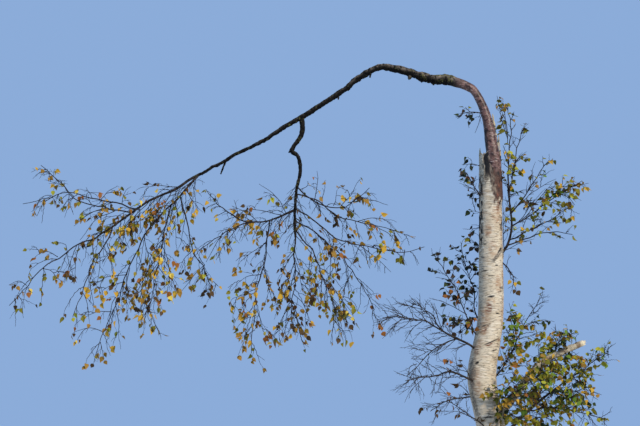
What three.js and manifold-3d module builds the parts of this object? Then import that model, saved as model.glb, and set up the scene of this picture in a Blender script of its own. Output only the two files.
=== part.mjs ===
// Paper birch that a storm broke: a white trunk with a snapped and splintered top, a living leader that
// arches far out to one side and weeps, shoots along the trunk, dead twigs and a broken dead bough.
// Millimetres, +Z up. The origin is the middle of the flat cut under the trunk. The arch reaches along
// -X, and the tree is seen from -Y.

import * as THREE from 'three';
import { mergeVertices } from 'three/addons/utils/BufferGeometryUtils.js';
import Module from 'manifold-3d';

const wasm = await Module();
wasm.setup();

// Sizes that hold for the whole tree
const SEAT_GAP = 0.3; // between a limb and what it grows from
const CLEARANCE = 3; // kept by twigs and leaves to everything that isn't their own mass
const TWIG_SIDES = 3;
const STUB_SIDES = 5;
const BOUGH_STEPS = 2; // rings for each span between a bough's given points
const STOUT_RADIUS = 15; // boughs thicker than this have more sides
const STOUT_SIDES = 8;
const THIN_SIDES = 5;
const GOLDEN_ANGLE = Math.PI * (3 - Math.sqrt(5));
const UP = new THREE.Vector3(0, 0, 1);
const WELD = 1e-3; // vertices closer than this are one
const FIRST_SEED = 1000;
const SEED_STEP = 17;

// Trunk: taper, lean, the belly at chest height, root flare and broken rim
const TRUNK = {
  height: 3610,
  sides: 14,
  rings: 16,
  ringBias: 1.2, // rings are closer together in the flare
  footRadius: 134,
  topRadius: 97,
  leanBack: -20, // side shift of the upper trunk
  leanHeight: 400, // height over which that shift builds up
  bellyShift: -90, // side swing of the bend
  bellyHeight: 1680,
  bellyLength: 350,
  bellySwell: 10, // extra radius at the bend
  sway: 18, // slow swing in depth
  swayHeight: 900,
  flare: 52, // extra radius at ground level
  flareHeight: 170,
  rootRidges: 5,
  ridgeTurn: 0.6,
  ridgeShare: 0.13, // how far the root ridges stand out, as a share of the radius
  rimRise: 70, // how far the broken rim's teeth stand up
  rimTeeth: 5,
  rotDepth: 120, // hollow left in the broken end
};

// Long splinters on the broken rim: foot, tip, half width and half thickness
const SPLINTERS = [
  { foot: [50, 42, 3480], tip: [16, 40, 4053], width: 38, thickness: 13 },
  { foot: [66, 30, 3500], tip: [64, 46, 3850], width: 22, thickness: 11 },
  { foot: [-92, 0, 3500], tip: [-112, -8, 3712], width: 20, thickness: 12 },
];

// The leader's whole line, from its foot on the trunk's near side over the arch to the outer fork,
// and where it is divided, as shares of that line
const LEADER = {
  line: [
    [12, -46, 3150],
    [11, -62, 3503],
    [-20, -66, 3791],
    [-57, -64, 3987],
    [-143, -60, 4183],
    [-233, -58, 4254],
    [-396, -58, 4302],
    [-551, -60, 4313],
    [-720, -66, 4368],
    [-853, -70, 4402],
    [-985, -74, 4416],
    [-1102, -76, 4368],
    [-1196, -76, 4310],
    [-1325, -70, 4203],
    [-1527, -56, 4075],
    [-1680, -46, 3974],
    [-1821, -38, 3899],
    [-2042, -25, 3757],
    [-2337, -8, 3609],
    [-2650, 12, 3439],
    [-2812, 15, 3335],
    [-3084, 18, 3211],
    [-3275, 22, 3074],
    [-3531, 28, 2891],
  ],
  radii: [
    66, 62, 51, 41, 35, 39, 46, 40, 35, 31, 29, 26, 26, 24, 22, 22, 19, 16.5, 14, 12, 11, 9.5, 8.5, 7,
  ],
  pieces: { leader_rise: [0, 6], leader_arch: [6, 13], leader_fall: [13, 19], outer_bough: [19, 23] },
  sides: { leader_rise: 8, leader_arch: 8, leader_fall: 8, outer_bough: 6 },
  stepsPerSpan: 2,
};

// Dead stubs that stand off the leader: where they start, where they end, and their radii
const STUBS = [
  { on: 'leader_arch', foot: [-1080, -76, 4378], tip: [-1085, -84, 4324], radii: [11, 7] },
  { on: 'leader_arch', foot: [-722, -68, 4364], tip: [-738, -74, 4314], radii: [24, 14] },
  { on: 'leader_fall', foot: [-1362, -68, 4180], tip: [-1368, -74, 4128], radii: [9, 6] },
  { on: 'leader_fall', foot: [-2364, 0, 3594], tip: [-2410, -14, 3468], radii: [8, 5] },
];

// The other limbs: what each grows from, the line of its centre, and its radius at foot and tip
const BOUGHS = [
  {
    name: 'hanging_bough',
    on: 'leader_fall',
    line: [
      [-1690, -46, 3970], [-1690, -50, 3821], [-1778, -47, 3680], [-1730, -42, 3626],
      [-1704, -34, 3491], [-1738, -28, 3323], [-1750, -23, 3120], [-1744, -20, 2905],
    ],
    radii: [21, 10],
  },
  {
    name: 'lower_outer_bough',
    on: 'leader_fall',
    line: [[-2610, 10, 3458], [-2681, -8, 3373], [-2790, -26, 3240], [-2927, -46, 3107]],
    radii: [10, 7],
  },
  {
    name: 'left_bough',
    on: 'hanging_bough',
    line: [[-1740, -24, 3150], [-1850, 0, 3104], [-2010, 24, 3050], [-2190, 40, 3046]],
    radii: [9, 6],
  },
  {
    name: 'side_bough',
    on: 'trunk',
    line: [[60, -26, 2740], [128, -40, 2850], [162, -34, 3010], [146, -22, 3230], [136, -14, 3480]],
    radii: [12, 6],
  },
  {
    name: 'bare_bough',
    on: 'trunk',
    line: [[-110, -30, 1880], [-250, -44, 1975], [-405, -40, 2044], [-560, -30, 2140]],
    radii: [11, 6],
  },
  {
    name: 'low_bare_bough',
    on: 'trunk',
    line: [[-130, -50, 1610], [-250, -80, 1668], [-400, -96, 1722], [-514, -100, 1690]],
    radii: [10, 6],
  },
  {
    name: 'broken_bough',
    on: 'trunk',
    line: [[0, -40, 1290], [140, -96, 1477], [341, -120, 1755], [560, -130, 1886], [756, -136, 1970]],
    radii: [29, 26],
  },
  {
    name: 'bush_bough',
    on: 'trunk',
    line: [[30, 30, 1120], [240, 40, 1330], [400, 50, 1470], [560, 60, 1590]],
    radii: [17, 8],
  },
];

// The crown's masses. Each grows from a limb, at a share of its length or on the
// trunk at a point, to its furthest tip. bow lifts the middle of its stem, reach is how far its twigs
// spread from the stem, lift turns the twigs up or down, and leaves counts leaves on each twig.
const GOLD = '#c9a13a';
const OCHRE = '#a9802f';
const OLIVE = '#7f8a3c';
const GREEN = '#6d8a34';
const DARK_GREEN = '#3f5129';
const TWIG_BROWN = '#4a3a30';

const MASSES = [
  // Outer end of the arch, weeping
  {
    name: 'outer_upper', on: 'outer_bough', at: 0.66, tip: [-3960, -260, 3510], bow: -115,
    reach: 190, twigs: 7, leaves: 1.3, lift: 0.15, colour: OLIVE,
  },
  {
    name: 'outer_side', on: 'outer_bough', at: 0.6, tip: [-4222, 330, 3240], bow: 95,
    reach: 180, twigs: 7, leaves: 1.3, lift: 0, colour: OLIVE,
  },
  {
    name: 'outer_main', on: 'outer_bough', at: 0.985, tip: [-4250, -60, 2300], bow: 100,
    reach: 250, twigs: 7, leaves: 1.6, lift: -0.25, colour: GOLD,
  },
  {
    name: 'outer_droop', on: 'outer_bough', at: 0.84, tip: [-3642, -380, 2190], bow: 60,
    reach: 250, twigs: 7, leaves: 1.8, lift: -0.35, colour: GOLD,
  },
  {
    name: 'outer_low', on: 'lower_outer_bough', at: 0.985, tip: [-3526, 120, 1805], bow: 180,
    reach: 250, twigs: 8, leaves: 1.8, lift: -0.3, colour: OCHRE,
  },
  {
    name: 'outer_mid', on: 'lower_outer_bough', at: 0.8, tip: [-3004, -330, 2210], bow: 40,
    reach: 240, twigs: 7, leaves: 1.8, lift: -0.3, colour: GOLD,
  },
  {
    name: 'outer_inner', on: 'lower_outer_bough', at: 0.6, tip: [-2454, 380, 2500], bow: -150,
    reach: 220, twigs: 7, leaves: 1.7, lift: -0.3, colour: GOLD,
  },
  // Spray under the hanging bough
  {
    name: 'left_tip', on: 'left_bough', at: 0.985, tip: [-2548, 120, 3345], bow: -50,
    reach: 130, twigs: 5, leaves: 1.1, lift: 0.1, colour: OLIVE,
  },
  {
    name: 'left_out', on: 'left_bough', at: 0.84, tip: [-2577, -300, 2765], bow: 50,
    reach: 180, twigs: 6, leaves: 1.3, lift: -0.1, colour: OCHRE,
  },
  {
    name: 'left_droop', on: 'left_bough', at: 0.6, tip: [-2143, 300, 1891], bow: 60,
    reach: 250, twigs: 8, leaves: 1.7, lift: -0.25, colour: GOLD,
  },
  {
    name: 'right_top', on: 'hanging_bough', at: 0.69, tip: [-1100, -260, 3312], bow: -175,
    reach: 170, twigs: 6, leaves: 1.2, lift: 0.15, colour: OLIVE,
  },
  {
    name: 'right_mid', on: 'hanging_bough', at: 0.74, tip: [-820, 300, 2985], bow: -40,
    reach: 190, twigs: 7, leaves: 1.4, lift: 0, colour: OCHRE,
  },
  {
    name: 'right_low', on: 'hanging_bough', at: 0.83, tip: [-618, -160, 2806], bow: -170,
    reach: 200, twigs: 7, leaves: 1.4, lift: -0.2, colour: OLIVE,
  },
  {
    name: 'low_right', on: 'hanging_bough', at: 0.905, tip: [-1038, 330, 2280], bow: 140,
    reach: 240, twigs: 7, leaves: 1.6, lift: -0.2, colour: GOLD,
  },
  {
    name: 'low_mid', on: 'hanging_bough', at: 0.955, tip: [-1366, -400, 2150], bow: 80,
    reach: 240, twigs: 7, leaves: 1.7, lift: -0.2, colour: OCHRE,
  },
  {
    name: 'low_centre', on: 'hanging_bough', at: 0.99, tip: [-1770, 60, 2120], bow: 60,
    reach: 260, twigs: 9, leaves: 1.8, lift: -0.1, colour: GOLD,
  },
  // Shoots on the right of the trunk
  {
    name: 'side_top', on: 'side_bough', at: 0.985, tip: [150, 20, 4095], bow: 0,
    reach: 110, twigs: 7, leaves: 1.6, lift: 0.2, colour: OLIVE,
  },
  {
    name: 'side_top_right', on: 'side_bough', at: 0.8, tip: [309, 150, 3920], bow: 40,
    reach: 120, twigs: 6, leaves: 1.6, lift: 0.2, colour: GREEN,
  },
  {
    name: 'side_right_high', on: 'side_bough', at: 0.62, tip: [473, -220, 3559], bow: -20,
    reach: 120, twigs: 5, leaves: 1.4, lift: 0.1, colour: OLIVE,
  },
  {
    name: 'side_right', on: 'side_bough', at: 0.48, tip: [785, -60, 3400], bow: 10,
    reach: 150, twigs: 7, leaves: 1.6, lift: 0.1, colour: GREEN,
  },
  {
    name: 'side_right_low', on: 'side_bough', at: 0.3, tip: [718, 240, 3207], bow: -20,
    reach: 130, twigs: 6, leaves: 1.6, lift: 0.1, colour: GREEN,
  },
  {
    name: 'side_twig', on: 'side_bough', at: 0.2, tip: [668, -200, 2911], bow: 50,
    reach: 90, twigs: 5, leaves: 0.7, lift: 0, colour: OCHRE,
  },
  {
    name: 'side_low', on: 'trunk', from: [50, -30, 2700], tip: [190, -60, 2440], bow: 40,
    reach: 90, twigs: 4, leaves: 1.4, lift: 0, colour: OLIVE,
  },
  // Small shoots by the broken top
  {
    name: 'snag_shoot_high', on: 'leader_rise', at: 0.52, tip: [-290, -150, 3985], bow: -10,
    reach: 90, twigs: 4, leaves: 1.3, lift: 0, colour: DARK_GREEN,
  },
  {
    name: 'snag_shoot_low', on: 'trunk', from: [-80, -40, 3230], tip: [-236, -100, 3467], bow: 0,
    reach: 110, twigs: 5, leaves: 1.4, lift: 0, colour: DARK_GREEN,
  },
  // Dark leafy shoots on the left of the trunk
  {
    name: 'dark_shoot_outer', on: 'trunk', from: [-110, 20, 1960], tip: [-525, -60, 2750], bow: 40,
    reach: 200, twigs: 8, leaves: 1.7, lift: 0.1, colour: DARK_GREEN,
  },
  {
    name: 'dark_shoot_inner', on: 'trunk', from: [-90, 60, 2060], tip: [-262, 230, 2850], bow: 0,
    reach: 150, twigs: 7, leaves: 1.7, lift: 0.1, colour: DARK_GREEN,
  },
  // Bare dead twigs on the left
  {
    name: 'bare_out', on: 'bare_bough', at: 0.985, tip: [-985, -160, 2188], bow: 20,
    reach: 190, twigs: 8, leaves: 0, lift: 0, colour: TWIG_BROWN,
  },
  {
    name: 'bare_up', on: 'bare_bough', at: 0.75, tip: [-722, 220, 2362], bow: 20,
    reach: 150, twigs: 7, leaves: 0, lift: 0.1, colour: TWIG_BROWN,
  },
  {
    name: 'bare_down', on: 'bare_bough', at: 0.5, tip: [-766, 120, 1681], bow: 70,
    reach: 180, twigs: 7, leaves: 0, lift: 0, colour: TWIG_BROWN,
  },
  {
    name: 'low_bare_out', on: 'low_bare_bough', at: 0.985, tip: [-797, -260, 1644], bow: 20,
    reach: 180, twigs: 7, leaves: 0, lift: 0.2, colour: TWIG_BROWN,
  },
  {
    name: 'low_leafy', on: 'trunk', from: [-130, -30, 1500], tip: [-555, 150, 1378], bow: 60,
    reach: 150, twigs: 7, leaves: 0.6, lift: 0, colour: OCHRE,
  },
  {
    name: 'lowest_bare', on: 'trunk', from: [-80, -70, 1230], tip: [-423, -220, 1472], bow: 0,
    reach: 130, twigs: 6, leaves: 0.5, lift: 0.1, colour: TWIG_BROWN,
  },
  // Leafy clump at the lower right
  {
    name: 'bush_top', on: 'trunk', from: [-20, 60, 1640], tip: [400, 0, 2360], bow: -40,
    reach: 210, twigs: 7, leaves: 1.4, lift: 0.1, colour: OLIVE,
  },
  {
    name: 'bush_upper', on: 'bush_bough', at: 0.62, tip: [636, 240, 2078], bow: 0,
    reach: 220, twigs: 8, leaves: 1.9, lift: 0.1, colour: GREEN,
  },
  {
    name: 'bush_right', on: 'bush_bough', at: 0.985, tip: [986, -20, 1890], bow: 10,
    reach: 210, twigs: 8, leaves: 1.9, lift: 0.1, colour: OLIVE,
  },
  {
    name: 'bush_mid', on: 'bush_bough', at: 0.88, tip: [802, -280, 1590], bow: 0,
    reach: 220, twigs: 7, leaves: 1.9, lift: 0, colour: GREEN,
  },
  {
    name: 'bush_low', on: 'bush_bough', at: 0.45, tip: [981, 120, 1308], bow: 30,
    reach: 220, twigs: 8, leaves: 1.7, lift: 0, colour: OLIVE,
  },
  {
    name: 'bush_near', on: 'trunk', from: [20, -70, 1420], tip: [370, -430, 1716], bow: 20,
    reach: 220, twigs: 8, leaves: 1.9, lift: 0.1, colour: GREEN,
  },
  {
    name: 'bush_back', on: 'bush_bough', at: 0.3, tip: [549, 480, 1620], bow: 0,
    reach: 210, twigs: 7, leaves: 1.7, lift: 0.1, colour: OLIVE,
  },
  {
    name: 'bush_foot', on: 'trunk', from: [50, -40, 1000], tip: [570, -200, 1068], bow: 40,
    reach: 220, twigs: 8, leaves: 1.7, lift: 0, colour: GREEN,
  },
];

// The rule by which every mass grows
const GROWTH = {
  stemRadius: 6,
  stemTipRadius: 3.4,
  stemSteps: 5,
  wander: 0.028, // side swing of a stem, as a share of its length
  wanderTurns: 3,
  firstTwig: 0.14, // share of the stem where twigs begin
  lastTwig: 0.97,
  forward: 0.75, // how much a twig follows its stem
  outward: 0.8, // how much it leaves the stem
  twigShare: 1.2, // longest twig, as a share of its mass's reach
  shortest: 0.55, // shortest twig, as a share of the longest
  endShare: 0.55, // twig length at the stem's tip, as a share of the length at its foot
  droop: 0.2, // how far a twig's tip hangs, as a share of its length
  twigRadius: 4.4,
  twigTipRadius: 3,
  twigSteps: 1,
  lastLeaf: 0.92, // share of the twig where the outermost leaf sits
  leafSpan: 0.55, // share of the twig that carries leaves
  leafLength: 84,
  leafWidth: 0.68, // share of the length
  leafThickness: 0.07,
  leafSink: 0.35, // how far a leaf's root passes the twig's centre, as a share of the twig's radius
  leafForward: 0.5, // how a leaf's direction mixes the twig's own,
  leafSideways: 0.8, // the way out to one side
  leafHang: 0.8, // and the pull of the ground
  leafSmallest: 0.8, // shares of the leaf length
  leafLargest: 1.15,
  leafBroadest: 0.4, // where along a leaf it is broadest
  smoothing: 0.5, // how far fused faces may move where small ones are merged
};

const vector = (values) => new THREE.Vector3(...values);

// A stream of numbers from 0 to 1 that is the same on every run
function seededStream(seed) {
  let state = seed >>> 0;
  return () => {
    state = (state + 0x6d2b79f5) >>> 0;
    let mixed = Math.imul(state ^ (state >>> 15), state | 1);
    mixed ^= mixed + Math.imul(mixed ^ (mixed >>> 7), mixed | 61);
    return ((mixed ^ (mixed >>> 14)) >>> 0) / 4294967296;
  };
}

// Points along a smooth curve through a few
function smoothLine(points, stepsPerSpan) {
  const curve = new THREE.CatmullRomCurve3(points.map(vector), false, 'catmullrom', 0.5);
  const steps = (points.length - 1) * stepsPerSpan;
  return Array.from({ length: steps + 1 }, (_, i) => curve.getPoint(i / steps));
}

// Radii in step with smoothLine, from one radius at each given point
function smoothRadii(radii, stepsPerSpan) {
  const steps = (radii.length - 1) * stepsPerSpan;
  return Array.from({ length: steps + 1 }, (_, i) => {
    const span = Math.min(Math.floor(i / stepsPerSpan), radii.length - 2);
    return THREE.MathUtils.lerp(radii[span], radii[span + 1], i / stepsPerSpan - span);
  });
}

// Evenly changing radii
function evenRadii(first, last, count) {
  return Array.from({ length: count }, (_, i) => THREE.MathUtils.lerp(first, last, i / (count - 1)));
}

// A direction square to another
function squareTo(direction) {
  const helper = Math.abs(direction.z) < 0.9 ? UP : new THREE.Vector3(1, 0, 0);
  return new THREE.Vector3().crossVectors(helper, direction).normalize();
}

// Tangent, normal and side at each point of a line, turning as little as possible along it
function framesAlong(points) {
  let normal = null;
  return points.map((point, i) => {
    const before = points[Math.max(i - 1, 0)];
    const after = points[Math.min(i + 1, points.length - 1)];
    const tangent = after.clone().sub(before).normalize();
    normal = normal ? normal.clone() : squareTo(tangent);
    normal.addScaledVector(tangent, -normal.dot(tangent)).normalize();
    return { tangent, normal, side: new THREE.Vector3().crossVectors(normal, tangent) };
  });
}

// A closed tapering limb: a cylinder whose rings are set along a line
function limbGeometry(points, frames, radii, sides) {
  const rings = points.length - 1;
  const geometry = new THREE.CylinderGeometry(1, 1, 1, sides, rings);
  const position = geometry.attributes.position;
  for (let i = 0; i < position.count; i += 1) {
    const ring = Math.round((position.getY(i) + 0.5) * rings);
    const point = points[ring]
      .clone()
      .addScaledVector(frames[ring].normal, position.getX(i) * radii[ring])
      .addScaledVector(frames[ring].side, position.getZ(i) * radii[ring]);
    position.setXYZ(i, point.x, point.y, point.z);
  }
  return geometry;
}

// Geometry to solid and back
function toSolid(geometry) {
  const bare = geometry.clone();
  bare.deleteAttribute('normal');
  bare.deleteAttribute('uv');
  const welded = mergeVertices(bare, WELD);
  return new wasm.Manifold(
    new wasm.Mesh({
      numProp: 3,
      vertProperties: new Float32Array(welded.attributes.position.array),
      triVerts: new Uint32Array(welded.index.array),
    }),
  );
}

function toGeometry(solid) {
  const mesh = solid.getMesh();
  const geometry = new THREE.BufferGeometry();
  geometry.setAttribute('position', new THREE.BufferAttribute(mesh.vertProperties, 3));
  geometry.setIndex(new THREE.BufferAttribute(mesh.triVerts, 1));
  geometry.computeVertexNormals();
  return geometry;
}

// The largest of a solid's bodies, which drops loose scraps and fills sealed hollows
function mainBody(solid) {
  return solid.decompose().reduce((largest, body) => (body.volume() > largest.volume() ? body : largest));
}

const joinAll = (solids) => solids.reduce((whole, solid) => whole.add(solid));

// A plain limb between two ends, grown by a margin all over where a neighbour is cut clear of it
function limbSolid(limb, margin = 0) {
  const points = limb.points.map((point) => point.clone());
  const last = points.length - 1;
  points[0].addScaledVector(limb.frames[0].tangent, -margin);
  points[last].addScaledVector(limb.frames[last].tangent, margin);
  const radii = limb.radii.map((radius) => radius + margin);
  return toSolid(limbGeometry(points, limb.frames, radii, limb.sides));
}

// Trunk centre and radius at a height
function trunkCentre(height) {
  const belly = Math.exp(-(((height - TRUNK.bellyHeight) / TRUNK.bellyLength) ** 2));
  const lean = TRUNK.leanBack * (1 - Math.exp(-height / TRUNK.leanHeight));
  return new THREE.Vector3(lean + TRUNK.bellyShift * belly, TRUNK.sway * Math.sin(height / TRUNK.swayHeight), height);
}

function trunkRadius(height) {
  const belly = Math.exp(-(((height - TRUNK.bellyHeight) / TRUNK.bellyLength) ** 2));
  const taper = THREE.MathUtils.lerp(TRUNK.footRadius, TRUNK.topRadius, height / TRUNK.height);
  return taper + TRUNK.bellySwell * belly + TRUNK.flare * Math.exp(-height / TRUNK.flareHeight);
}

// Heights of the trunk's rings, closer together in the flare
function trunkHeights() {
  return Array.from({ length: TRUNK.rings + 1 }, (_, i) => {
    return TRUNK.height * (i / TRUNK.rings) ** TRUNK.ringBias;
  });
}

// Trunk with root ridges, a ragged rim and a rotted hollow in its broken end
function trunkSolid(margin = 0) {
  const heights = trunkHeights();
  const geometry = new THREE.CylinderGeometry(1, 1, 1, TRUNK.sides, TRUNK.rings);
  const position = geometry.attributes.position;
  for (let i = 0; i < position.count; i += 1) {
    const ring = Math.round((position.getY(i) + 0.5) * TRUNK.rings);
    const [along, across] = [position.getX(i), -position.getZ(i)];
    const onAxis = Math.hypot(along, across) < 0.5;
    const angle = Math.atan2(across, along);
    const height = heights[ring];
    const ridgeHeight = TRUNK.ridgeShare * Math.exp(-height / TRUNK.flareHeight);
    const ridge = ridgeHeight * Math.cos(TRUNK.rootRidges * angle + TRUNK.ridgeTurn);
    const radius = trunkRadius(height) * (1 + ridge) + margin;
    const centre = trunkCentre(height);
    const isRim = ring === TRUNK.rings;
    const tooth = TRUNK.rimRise * (0.5 + 0.5 * Math.sin(TRUNK.rimTeeth * angle + 1) * Math.cos(2 * angle));
    const rise = isRim ? (onAxis ? -TRUNK.rotDepth : tooth) : 0;
    position.setXYZ(i, centre.x + along * radius, centre.y + across * radius, height + rise);
  }
  return toSolid(geometry);
}

// A splinter: a long four-sided blade that narrows to its tip
function splinterSolid({ foot, tip, width, thickness }) {
  const geometry = new THREE.ConeGeometry(1, 1, 4, 1);
  const [start, end] = [vector(foot), vector(tip)];
  const axis = end.clone().sub(start);
  const direction = axis.clone().normalize();
  const across = new THREE.Vector3(1, 0, 0).addScaledVector(direction, -direction.x).normalize();
  const through = new THREE.Vector3().crossVectors(across, direction);
  const position = geometry.attributes.position;
  for (let i = 0; i < position.count; i += 1) {
    const point = start
      .clone()
      .addScaledVector(axis, position.getY(i) + 0.5)
      .addScaledVector(across, position.getX(i) * width)
      .addScaledVector(through, position.getZ(i) * thickness);
    position.setXYZ(i, point.x, point.y, point.z);
  }
  return toSolid(geometry);
}

// Limbs as lines with frames and radii, by name
const limbs = {};

function addLeaderPieces() {
  const points = smoothLine(LEADER.line, LEADER.stepsPerSpan);
  const frames = framesAlong(points);
  const radii = smoothRadii(LEADER.radii, LEADER.stepsPerSpan);
  for (const [name, [first, last]] of Object.entries(LEADER.pieces)) {
    const [start, end] = [first * LEADER.stepsPerSpan, last * LEADER.stepsPerSpan + 1];
    const piece = points.slice(start, end).map((point) => point.clone());
    if (first > 0) {
      piece[0].addScaledVector(frames[start].tangent, SEAT_GAP);
    }
    limbs[name] = {
      points: piece,
      frames: frames.slice(start, end),
      radii: radii.slice(start, end),
      sides: LEADER.sides[name],
    };
  }
}

function addBough({ name, on, line, radii }) {
  const points = smoothLine(line, BOUGH_STEPS);
  const sides = radii[0] > STOUT_RADIUS ? STOUT_SIDES : THIN_SIDES;
  const everyRadius = evenRadii(...radii, points.length);
  limbs[name] = { on, points, frames: framesAlong(points), radii: everyRadius, sides };
}

// Point on a line at a share of its length
function pointAlong(points, share) {
  const place = share * (points.length - 1);
  const span = Math.min(Math.floor(place), points.length - 2);
  return points[span].clone().lerp(points[span + 1], place - span);
}

// Stem of a mass: from its limb to its furthest tip, bowed, with a slow seeded swing
function stemLine(mass, random) {
  const start = mass.from ? vector(mass.from) : pointAlong(limbs[mass.on].points, mass.at);
  const end = vector(mass.tip);
  const length = start.distanceTo(end);
  const phase = random() * Math.PI * 2;
  return Array.from({ length: GROWTH.stemSteps + 1 }, (_, i) => {
    const share = i / GROWTH.stemSteps;
    const arch = Math.sin(Math.PI * share);
    const swing = GROWTH.wander * length * Math.sin(Math.PI * GROWTH.wanderTurns * share + phase) * arch;
    return start
      .clone()
      .lerp(end, share)
      .add(new THREE.Vector3(swing / 2, swing, mass.bow * arch + swing / 2));
  });
}

// Shortest distance between two straight pieces
function segmentDistance([a, b], [c, d]) {
  const along = b.clone().sub(a);
  const other = d.clone().sub(c);
  const offset = a.clone().sub(c);
  const [aa, bb, ab] = [along.dot(along), other.dot(other), along.dot(other)];
  const [ao, bo] = [along.dot(offset), other.dot(offset)];
  const spread = aa * bb - ab * ab;
  let s = spread > 1e-6 ? THREE.MathUtils.clamp((ab * bo - bb * ao) / spread, 0, 1) : 0;
  const t = THREE.MathUtils.clamp((ab * s + bo) / bb, 0, 1);
  s = THREE.MathUtils.clamp((ab * t - ao) / aa, 0, 1);
  return a.clone().addScaledVector(along, s).distanceTo(c.clone().addScaledVector(other, t));
}

function distanceToLine(point, points) {
  const line = new THREE.Line3();
  const nearest = new THREE.Vector3();
  let distance = Infinity;
  for (let i = 0; i + 1 < points.length; i += 1) {
    line.set(points[i], points[i + 1]).closestPointToPoint(point, true, nearest);
    distance = Math.min(distance, nearest.distanceTo(point));
  }
  return distance;
}

// What is already in place, as straight pieces with a radius, and whose they are
const placed = [];

function occupy(owner, points, radii) {
  for (let i = 0; i + 1 < points.length; i += 1) {
    placed.push({ owner, ends: [points[i], points[i + 1]], radius: Math.max(radii[i], radii[i + 1]) });
  }
}

function isClear(owner, points, radius) {
  return placed.every((piece) => {
    if (piece.owner === owner) {
      return true;
    }
    for (let i = 0; i + 1 < points.length; i += 1) {
      if (segmentDistance([points[i], points[i + 1]], piece.ends) < piece.radius + radius + CLEARANCE) {
        return false;
      }
    }
    return true;
  });
}

// A mass's own space: within reach of its stem, and nearer to it than to any other mass's stem
function inOwnSpace(mass, stems, point) {
  const own = distanceToLine(point, stems[mass.name]);
  if (own > mass.reach) {
    return false;
  }
  const others = Object.keys(stems).filter((name) => name !== mass.name);
  return others.every((name) => distanceToLine(point, stems[name]) > own);
}

// A twig that leaves its stem at a share of its length, turned round it from the one before
function twigLine(mass, stem, frames, index, random) {
  const step = (index + 0.7 * random()) / mass.twigs;
  const share = THREE.MathUtils.lerp(GROWTH.firstTwig, GROWTH.lastTwig, step);
  const { tangent, normal, side } = frames[Math.min(Math.floor(share * GROWTH.stemSteps), GROWTH.stemSteps)];
  const around = index * GOLDEN_ANGLE + random();
  const direction = tangent
    .clone()
    .multiplyScalar(GROWTH.forward)
    .addScaledVector(normal, GROWTH.outward * Math.cos(around))
    .addScaledVector(side, GROWTH.outward * Math.sin(around))
    .addScaledVector(UP, mass.lift)
    .normalize();
  const size = THREE.MathUtils.lerp(GROWTH.shortest, 1, random());
  const length = mass.reach * GROWTH.twigShare * size * THREE.MathUtils.lerp(1, GROWTH.endShare, share);
  const root = pointAlong(stem, share);
  return Array.from({ length: GROWTH.twigSteps + 1 }, (_, i) => {
    const run = i / GROWTH.twigSteps;
    return root
      .clone()
      .addScaledVector(direction, length * run)
      .addScaledVector(UP, -GROWTH.droop * length * run * run);
  });
}

// A leaf on a twig: root, tip, and the way its blade faces
function leafOn(twig, share, random) {
  const seat = pointAlong(twig, share);
  const outward = twig[twig.length - 1].clone().sub(twig[0]).normalize();
  const turn = random() * Math.PI * 2;
  const sideways = squareTo(outward).applyAxisAngle(outward, turn);
  const direction = outward
    .clone()
    .multiplyScalar(GROWTH.leafForward)
    .addScaledVector(sideways, GROWTH.leafSideways)
    .addScaledVector(UP, -GROWTH.leafHang)
    .normalize();
  const size = GROWTH.leafLength * THREE.MathUtils.lerp(GROWTH.leafSmallest, GROWTH.leafLargest, random());
  const sink = GROWTH.leafSink * THREE.MathUtils.lerp(GROWTH.twigRadius, GROWTH.twigTipRadius, share);
  const root = seat.clone().addScaledVector(direction, -sink);
  const facing = squareTo(direction).applyAxisAngle(direction, random() * Math.PI);
  return { root, tip: root.clone().addScaledVector(direction, size), direction, facing, size };
}

// A leaf of eight faces, broadest near its root
function leafSolid({ root, direction, facing, size }) {
  const geometry = new THREE.OctahedronGeometry(0.5);
  const across = new THREE.Vector3().crossVectors(facing, direction);
  const position = geometry.attributes.position;
  for (let i = 0; i < position.count; i += 1) {
    const isSide = Math.abs(position.getX(i)) < 0.1;
    const broad = isSide ? GROWTH.leafBroadest : 0.5 + position.getX(i);
    const point = root
      .clone()
      .addScaledVector(direction, size * broad)
      .addScaledVector(across, size * GROWTH.leafWidth * position.getY(i))
      .addScaledVector(facing, size * GROWTH.leafThickness * position.getZ(i));
    position.setXYZ(i, point.x, point.y, point.z);
  }
  return toSolid(geometry);
}

// One mass of twigs and leaves, fused, and cut clear of the limb that it grows from
function massSolid(mass, stems, random) {
  const stem = stems[mass.name];
  const frames = framesAlong(stem);
  const stemRadii = evenRadii(GROWTH.stemRadius, GROWTH.stemTipRadius, stem.length);
  const solids = [toSolid(limbGeometry(stem, frames, stemRadii, TWIG_SIDES))];
  const twigRadii = evenRadii(GROWTH.twigRadius, GROWTH.twigTipRadius, GROWTH.twigSteps + 1);
  const grown = [];
  for (let index = 0; index < mass.twigs; index += 1) {
    const twig = twigLine(mass, stem, frames, index, random);
    const leafCount = Math.floor(mass.leaves + random());
    const leaves = Array.from({ length: leafCount }, (_, i) => {
      return leafOn(twig, GROWTH.lastLeaf - (GROWTH.leafSpan * i) / leafCount, random);
    });
    const fits = [0.5, 1].every((share) => inOwnSpace(mass, stems, pointAlong(twig, share)));
    if (fits && isClear(mass.name, twig, GROWTH.twigRadius)) {
      solids.push(toSolid(limbGeometry(twig, framesAlong(twig), twigRadii, TWIG_SIDES)));
      grown.push([twig, twigRadii]);
      for (const leaf of leaves) {
        const halfWidth = (leaf.size * GROWTH.leafWidth) / 2;
        if (inOwnSpace(mass, stems, leaf.tip) && isClear(mass.name, [leaf.root, leaf.tip], halfWidth)) {
          solids.push(leafSolid(leaf));
          grown.push([[leaf.root, leaf.tip], [halfWidth, halfWidth]]);
        }
      }
    }
  }
  grown.forEach(([points, radii]) => occupy(mass.name, points, radii));
  return joinAll(solids).asOriginal().simplify(GROWTH.smoothing);
}

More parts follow.
